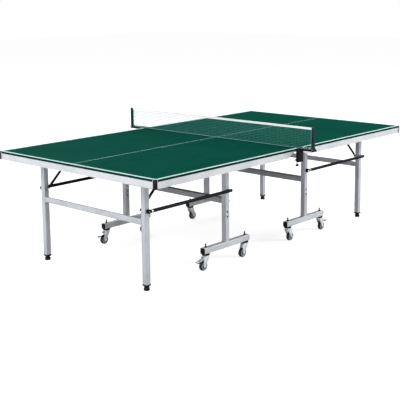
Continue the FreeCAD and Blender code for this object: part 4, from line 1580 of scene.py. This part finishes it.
@dataclass
class NetSet:
    """Net with its tape, posts, clamps and clamp screws, on the right half."""

    finishes: Finishes
    thread: float = 0.0008
    mesh: float = 0.012
    knot: float = 0.0011
    tape: float = 0.015
    tape_wall: float = 0.0011
    hem: float = 0.0018
    post_wide: float = 0.020
    post_deep: float = 0.018
    clamp_gap: float = 0.0035
    clamp_deep: float = 0.024
    net_gap: float = 0.004
    net_area: float = 0.1
    arm_start: float = 0.705
    arm_head: float = 0.0208
    arm_edges: tuple[float, float] = (-0.0132, 0.0262)
    arm_step: float = 0.0022
    web_tall: float = 0.0116
    rib_start: float = 0.712
    rib_run: float = 0.05
    back_ribs: tuple[float, float, float] = (-0.28, 0.0, 0.28)
    back_rib: tuple[float, float, float] = (0.0035, 0.0018, 0.070)
    screw_x: float = 0.016
    screw_y: float = 0.745
    jaw_y: float = 0.7492
    jaw: tuple[float, float, float] = (0.0198, 0.0350, 0.0100)
    rivets: tuple[float, float, float] = (0.012, 0.037, 0.062)
    rivet_x: float = 0.0105
    rivet_slant: float = 0.10

    def __post_init__(self) -> None:
        """Reads the net's box."""
        self.low, self.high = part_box("net")
        self.reach = self.high.y

    def build(self) -> None:
        """Builds the net set."""
        net = self.threads()
        tape = self.top_tape()
        hems = self.hems()
        posts = self.posts()
        self.clamps()
        for side in Side:
            self.screw(side)

    def threads(self) -> bpy.types.Object:
        """Knots the threads.

        Returns:
            The net.
        """
        form = Form()
        bottom, top = self.low.z + 0.001, self.high.z - self.tape * 0.7
        wide = 2 * (self.reach - self.net_gap)
        columns, rows = round(wide / self.mesh), round((top - bottom) / self.mesh)
        diamond, across = Matrix.Rotation(math.radians(45), 4, "Z"), self.thread * 1.414
        upright = Matrix.Diagonal((across, across, top - bottom, 1.0))
        level = Matrix.Diagonal((across, across, wide, 1.0))
        dot = Matrix.Diagonal((self.knot * 2, self.knot * 2, self.knot * 2, 1.0))
        for column in range(columns + 1):
            y = -wide / 2 + wide * column / columns
            form.block(at(0, y, (bottom + top) / 2) @ diamond @ upright)
        for row in range(1, rows):
            z = bottom + (top - bottom) * row / rows
            form.block(along_y(0, 0, z) @ diamond @ level)
            for column in range(columns + 1):
                form.block(at(0, -wide / 2 + wide * column / columns, z) @ diamond @ dot)
        berth = Berth("right_top", Slot.NET, ("net",))
        return form.finish("net_threads", self.finishes.yarn, berth)

    def top_tape(self) -> bpy.types.Object:
        """Folds the white tape over the top cord.

        Returns:
            The tape.
        """
        wall, tall = self.tape_wall, self.tape
        cord = 0.0019
        outline = [(-wall, -tall), (wall, -tall), (wall, -0.0048), (wall * 1.2, -0.0040)]
        outline += arc((0.0, -cord - 0.0002), cord, -20, 200, 10)
        outline += [(-wall * 1.2, -0.0040), (-wall, -0.0048)]
        form = Form()
        place = Matrix.Translation((0, 0, self.high.z)) @ Matrix.Rotation(math.radians(90), 4, "X")
        form.plate(outline, 2 * (self.reach - 0.0015), place, 0.0)
        return form.finish("net_tape", self.finishes.tape, Berth("right_top", Slot.NET), 60.0)

    def hems(self) -> bpy.types.Object:
        """Cord along the foot of the net and the sleeves at its ends.

        Returns:
            Both, as one piece.
        """
        form = Form()
        long = 2 * (self.reach - 0.003)
        cord = [(0.0, 0.0), (self.hem, 0.0), (self.hem, long), (0.0, long)]
        form.lathe(cord, along_y(0, -long / 2, self.low.z + self.hem), 12)
        tall = self.high.z - self.low.z - self.tape
        for side in Side:
            centre = (0, side.value * (self.reach - 0.0045), self.low.z + tall / 2)
            form.slab(centre, (0.0022, 0.007, tall), 0.0008)
        return form.finish("net_hems", self.finishes.hem, Berth("right_top", Slot.NET))

    def posts(self) -> bpy.types.Object:
        """Net posts with a slanted top, a foot and raised strips.

        Returns:
            Both posts, as one piece.
        """
        low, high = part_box("net_posts")
        form = Form()
        tall = high.z - low.z
        half = self.post_wide / 2
        outline = [(-half, 0.0), (half, 0.0), (half, tall - 0.0055), (half - 0.003, tall - 0.0025),
                   (-half + 0.002, tall - 0.0002), (-half, tall - 0.0022)]
        for side in Side:
            y = side.value * (high.y - self.post_deep / 2)
            place = side_view(0.0, y, low.z)
            form.plate(outline, self.post_deep, place, 0.0028, 4)
            form.slab((0, y, low.z + 0.0050),
                      (self.post_wide + 0.0020, self.post_deep + 0.0020, 0.010), 0.0012)
            for edge in EDGES:
                form.slab((edge * half, y, low.z + tall * 0.52), (0.0012, 0.0045, tall * 0.8),
                          0.0005)
            form.slab((0, y + side.value * self.post_deep / 2, low.z + tall * 0.52),
                      (0.006, 0.0012, tall * 0.8), 0.0005)
        berth = Berth("right_top", Slot.BLACK, ("net_posts",))
        return form.finish("net_post_pair", self.finishes.post, berth)

    def clamps(self) -> None:
        """Arms that lie on the board, with the clamp's back, its lower jaw and their rivets."""
        low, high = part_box("net_clamps")
        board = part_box("right_top_panel")[1]
        black, bright = Form(), Form()
        arm_low, arm_high = board.z + 0.0004, high.z
        arm_mid, arm_tall = (arm_low + arm_high) / 2, arm_high - arm_low
        inner, outer = board.y + self.clamp_gap, board.y + self.clamp_gap + self.clamp_deep
        post_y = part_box("net_posts")[1].y - self.post_deep / 2
        for side in Side:
            sense = side.value
            left, right = self.arm_edges
            head_y = high.y - self.arm_head
            grip = [(self.arm_step, self.arm_start), (right, self.arm_start), (right, outer),
                    (0.0135, high.y), (left, high.y), (left, head_y), (self.arm_step, head_y)]
            flat = [(x, sense * y) for x, y in grip]
            black.plate(flat, arm_tall, at(0, 0, arm_mid), 0.0011, 3)
            web = (outer - 0.002 + high.y) / 2
            black.slab(((left + right) / 2, sense * web, arm_low - self.web_tall / 2),
                       (right - left, high.y - outer + 0.002, self.web_tall), 0.0014, 3)
            rib = [(0.0075, self.rib_start), (0.0205, self.rib_start), (0.0205, outer),
                   (0.0145, outer + self.rib_run), (0.0075, outer + self.rib_run)]
            flat_rib = [(x, sense * y) for x, y in rib]
            black.plate(flat_rib, 0.0018, at(0, 0, arm_high + 0.0002), 0.0006)
            middle, wide = (low.x + high.x) / 2, high.x - low.x
            back = (middle, sense * (inner + outer) / 2, (low.z + arm_low) / 2)
            black.slab(back, (wide, outer - inner, arm_low - low.z + 0.001), 0.0022, 3)
            for step in self.back_ribs:
                black.slab((middle + step * wide, sense * (outer + 0.0001), back[2]), self.back_rib,
                           0.0006)
            jaw = low.z + self.jaw[2] / 2
            black.slab((self.screw_x, sense * self.jaw_y, jaw), self.jaw, 0.0014, 3)
            black.lathe([(0.0056, -0.0048), (0.0096, -0.0048), (0.0100, -0.0040), (0.0100, 0.0058),
                         (0.0092, 0.0066), (0.0056, 0.0066)],
                        at(self.screw_x, sense * self.screw_y, jaw), 32)
            black.slab((self.screw_x, sense * self.screw_y, arm_low - 0.0003),
                       (0.018, 0.030, 0.0008), 0.0002, 1)
            for out in self.rivets:
                spot = at(self.rivet_x - self.rivet_slant * (out - self.rivets[0]),
                          sense * (outer + out), arm_high + 0.0002)
                Fasteners.washer(bright, spot, 0.0052, 0.002, 0.0008)
                Fasteners.dome(bright, spot @ at(0, 0, 0.0006), 0.0042, 0.0024)
            hook = along_x(-0.0128, sense * post_y, arm_mid, -1.0)
            Fasteners.dome(bright, hook, 0.0030, 0.0020)
            knob = along_x(0.0125, sense * post_y, arm_mid - 0.001)
            black.lathe([(0.0, 0.0), (0.0070, 0.0), (0.0088, 0.0018), (0.0088, 0.0078),
                         (0.0070, 0.0098), (0.0, 0.0100)], knob, 32)
        berth = Berth("right_top", Slot.BLACK, ("net_clamps",))
        black.finish("net_clamp_pair", self.finishes.black, berth)
        bright.finish("net_clamp_rivets", self.finishes.zinc, Berth("right_top", Slot.ZINC))

    def screw(self, side: Side) -> None:
        """One clamp screw: threaded shaft, swivelling pad and a winged knob.

        Args:
            side: The clamp's side.
        """
        node = f"{side.label}_clamp_screw"
        low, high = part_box(node)
        middle = (low + high) / 2
        place = at(middle.x, middle.y, 0.0)
        shaft = Form()
        Fasteners.thread(shaft, place, 0.0046, low.z + 0.012, high.z - 0.004, 0.0016)
        pad = [(0.0, high.z - 0.0042), (0.0062, high.z - 0.0042), (0.0078, high.z - 0.0030),
               (0.0080, high.z - 0.0006), (0.0076, high.z), (0.0, high.z)]
        shaft.lathe(pad, place, 32)
        berth = Berth(f"{side.label}_screw", Slot.ZINC, (node,))
        shaft.finish(f"{side.label}_screw_shaft", self.finishes.zinc, berth)
        knob = Form()
        boss = [(0.0, low.z), (0.0070, low.z), (0.0084, low.z + 0.0016), (0.0086, low.z + 0.010),
                (0.0074, low.z + 0.0155), (0.0050, low.z + 0.0165), (0.0, low.z + 0.0165)]
        knob.lathe(boss, place, 32)
        wing = [(-0.0158, 0.0030), (-0.0140, 0.0012), (0.0140, 0.0012), (0.0158, 0.0030),
                (0.0158, 0.0105), (0.0135, 0.0140), (0.0095, 0.0128), (0.0065, 0.0085),
                (-0.0065, 0.0085), (-0.0095, 0.0128), (-0.0135, 0.0140), (-0.0158, 0.0105)]
        knob.plate(wing, 0.0058, side_view(middle.x, middle.y, low.z), 0.0016, 3)
        knob.finish(f"{side.label}_screw_knob", self.finishes.plastic,
                    Berth(f"{side.label}_screw", Slot.PLASTIC))


# ------------------------------------------------------------------ studio

@dataclass(frozen=True)
class Lamp:
    """One soft square light: where it hangs, what it faces, its watts and its side."""

    name: str
    spot: tuple[float, float, float]
    target: tuple[float, float, float]
    power: float
    side: float

    def build(self) -> None:
        """Hangs the light, which lights the table and isn't seen itself."""
        data = bpy.data.lights.new(self.name, "AREA")
        data.energy = self.power
        data.shape = "SQUARE"
        data.size = self.side
        light = bpy.data.objects.new(self.name, data)
        way = Vector(self.target) - Vector(self.spot)
        turn = way.to_track_quat("-Z", "Y").to_matrix().to_4x4()
        light.matrix_world = Matrix.Translation(self.spot) @ turn
        light.visible_camera = False
        bpy.context.scene.collection.objects.link(light)


LAMPS = (
    Lamp("end_light", (-7.0, 0.8, 5.2), (-0.6, 0.0, 0.5), 430.0, 3.6),
    Lamp("low_end_light", (-4.3, 1.9, 0.95), (-1.0, 0.2, 0.4), 44.0, 1.3),
    Lamp("side_light", (5.0, -6.6, 4.3), (0.7, 0.0, 0.4), 640.0, 3.8),
    Lamp("low_side_light", (-0.4, -6.0, 0.7), (-0.1, 0.2, 0.15), 66.0, 1.3),
    Lamp("back_light", (2.6, 7.0, 6.5), (0.0, 0.0, 0.4), 300.0, 3.6),
    Lamp("far_light", (7.0, -1.0, 5.6), (0.6, 0.0, 0.5), 320.0, 3.6),
)


@dataclass
class Studio:
    """Pale floor, soft light and the camera."""

    eye: tuple[float, float, float] = (-4.762, -4.218, 1.776)
    yaw: float = 47.49
    pitch: float = -9.25
    roll: float = -0.60
    lens: float = 77.96
    shift: float = -0.15
    floor_size: float = 60.0
    floor_tone: tuple[float, float, float] = (0.36, 0.36, 0.36)
    floor_light: tuple[float, float, float] = (0.39, 0.39, 0.39)
    floor_glow: float = 0.78
    horizon: float = 0.16
    zenith: float = 0.62
    sky_low: float = 0.05
    sky_high: float = 0.75
    sensor: float = 36.0
    far_clip: float = 200.0

    def build(self) -> None:
        """Sets the floor, the lights and the camera."""
        self.floor()
        self.sky()
        for lamp in LAMPS:
            lamp.build()
        self.camera()
        scene = bpy.context.scene
        scene.view_settings.view_transform = "Standard"
        scene.view_settings.look = "None"

    def floor(self) -> None:
        """Plain white floor."""
        mesh = bmesh.new()
        bmesh.ops.create_grid(mesh, x_segments=2, y_segments=2, size=self.floor_size / 2)
        data = bpy.data.meshes.new("studio_floor")
        mesh.to_mesh(data)
        mesh.free()
        recipe = Recipe("studio_white")
        faint = recipe.noise(recipe.place(), 0.8, 2.0)
        recipe.feed("Base Color", recipe.blend(faint, self.floor_tone, self.floor_light))
        recipe.feed("Roughness", 0.95)
        recipe.feed("Specular IOR Level", 0.0)
        recipe.seen_as_glow(self.floor_glow)
        data.materials.append(recipe.material)
        ground = bpy.data.objects.new("studio_floor", data)
        bpy.context.scene.collection.objects.link(ground)

    def sky(self) -> None:
        """White surround, which lights the table mostly from above."""
        world = bpy.data.worlds.new("studio_surround")
        world.use_nodes = True
        tree = world.node_tree
        dim = tree.nodes["Background"]
        way = tree.nodes.new("ShaderNodeTexCoord")
        split = tree.nodes.new("ShaderNodeSeparateXYZ")
        rise = tree.nodes.new("ShaderNodeMapRange")
        rise.interpolation_type = "SMOOTHSTEP"
        for key, value in (("From Min", self.sky_low), ("From Max", self.sky_high),
                           ("To Min", self.horizon), ("To Max", self.zenith)):
            rise.inputs[key].default_value = value
        bright = tree.nodes.new("ShaderNodeBackground")
        bright.inputs["Color"].default_value = (1.0, 1.0, 1.0, 1.0)
        path = tree.nodes.new("ShaderNodeLightPath")
        mix = tree.nodes.new("ShaderNodeMixShader")
        tree.links.new(way.outputs["Generated"], split.inputs[0])
        tree.links.new(split.outputs["Z"], rise.inputs["Value"])
        tree.links.new(rise.outputs[0], dim.inputs["Strength"])
        tree.links.new(path.outputs["Is Camera Ray"], mix.inputs[0])
        tree.links.new(dim.outputs[0], mix.inputs[1])
        tree.links.new(bright.outputs[0], mix.inputs[2])
        tree.links.new(mix.outputs[0], tree.nodes["World Output"].inputs["Surface"])
        dim.inputs["Color"].default_value = (1.0, 1.0, 1.0, 1.0)
        bpy.context.scene.world = world

    def camera(self) -> None:
        """Camera at the corner of the left half, with a small lens shift."""
        yaw, pitch, roll = (math.radians(angle) for angle in (self.yaw, self.pitch, self.roll))
        ahead = Vector((math.sin(yaw) * math.cos(pitch), math.cos(yaw) * math.cos(pitch),
                        math.sin(pitch)))
        right = Vector((math.cos(yaw), -math.sin(yaw), 0.0))
        above = right.cross(ahead)
        right, above = (math.cos(roll) * right + math.sin(roll) * above,
                        math.cos(roll) * above - math.sin(roll) * right)
        turn = Matrix((right, above, -ahead)).transposed().to_4x4()
        data = bpy.data.cameras.new("table_camera")
        data.lens = self.lens
        data.sensor_width = self.sensor
        data.sensor_fit = "HORIZONTAL"
        data.shift_y = self.shift
        data.clip_end = self.far_clip
        data.dof.use_dof = False
        eye = bpy.data.objects.new("table_camera", data)
        eye.matrix_world = Matrix.Translation(self.eye) @ turn
        bpy.context.scene.collection.objects.link(eye)
        bpy.context.scene.camera = eye


def main() -> None:
    """Builds the table and its studio."""
    logging.basicConfig(level=logging.INFO, format="%(name)s: %(message)s")
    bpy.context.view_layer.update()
    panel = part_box("left_top_panel")
    finishes = Finishes(BoardPaint().build(panel, abs(panel[0].x)))
    for half in Half:
        Carriage(half, finishes).build()
        LegFrame(half, finishes).build()
        Linkage(half, finishes).build()
        SwingTop(half, finishes).build()
        for side in Side:
            for corner in Corner:
                Caster(half, finishes, side, corner).build()
    NetSet(finishes).build()
    Studio().build()
    bpy.context.view_layer.update()


if __name__ == "__main__":
    main()
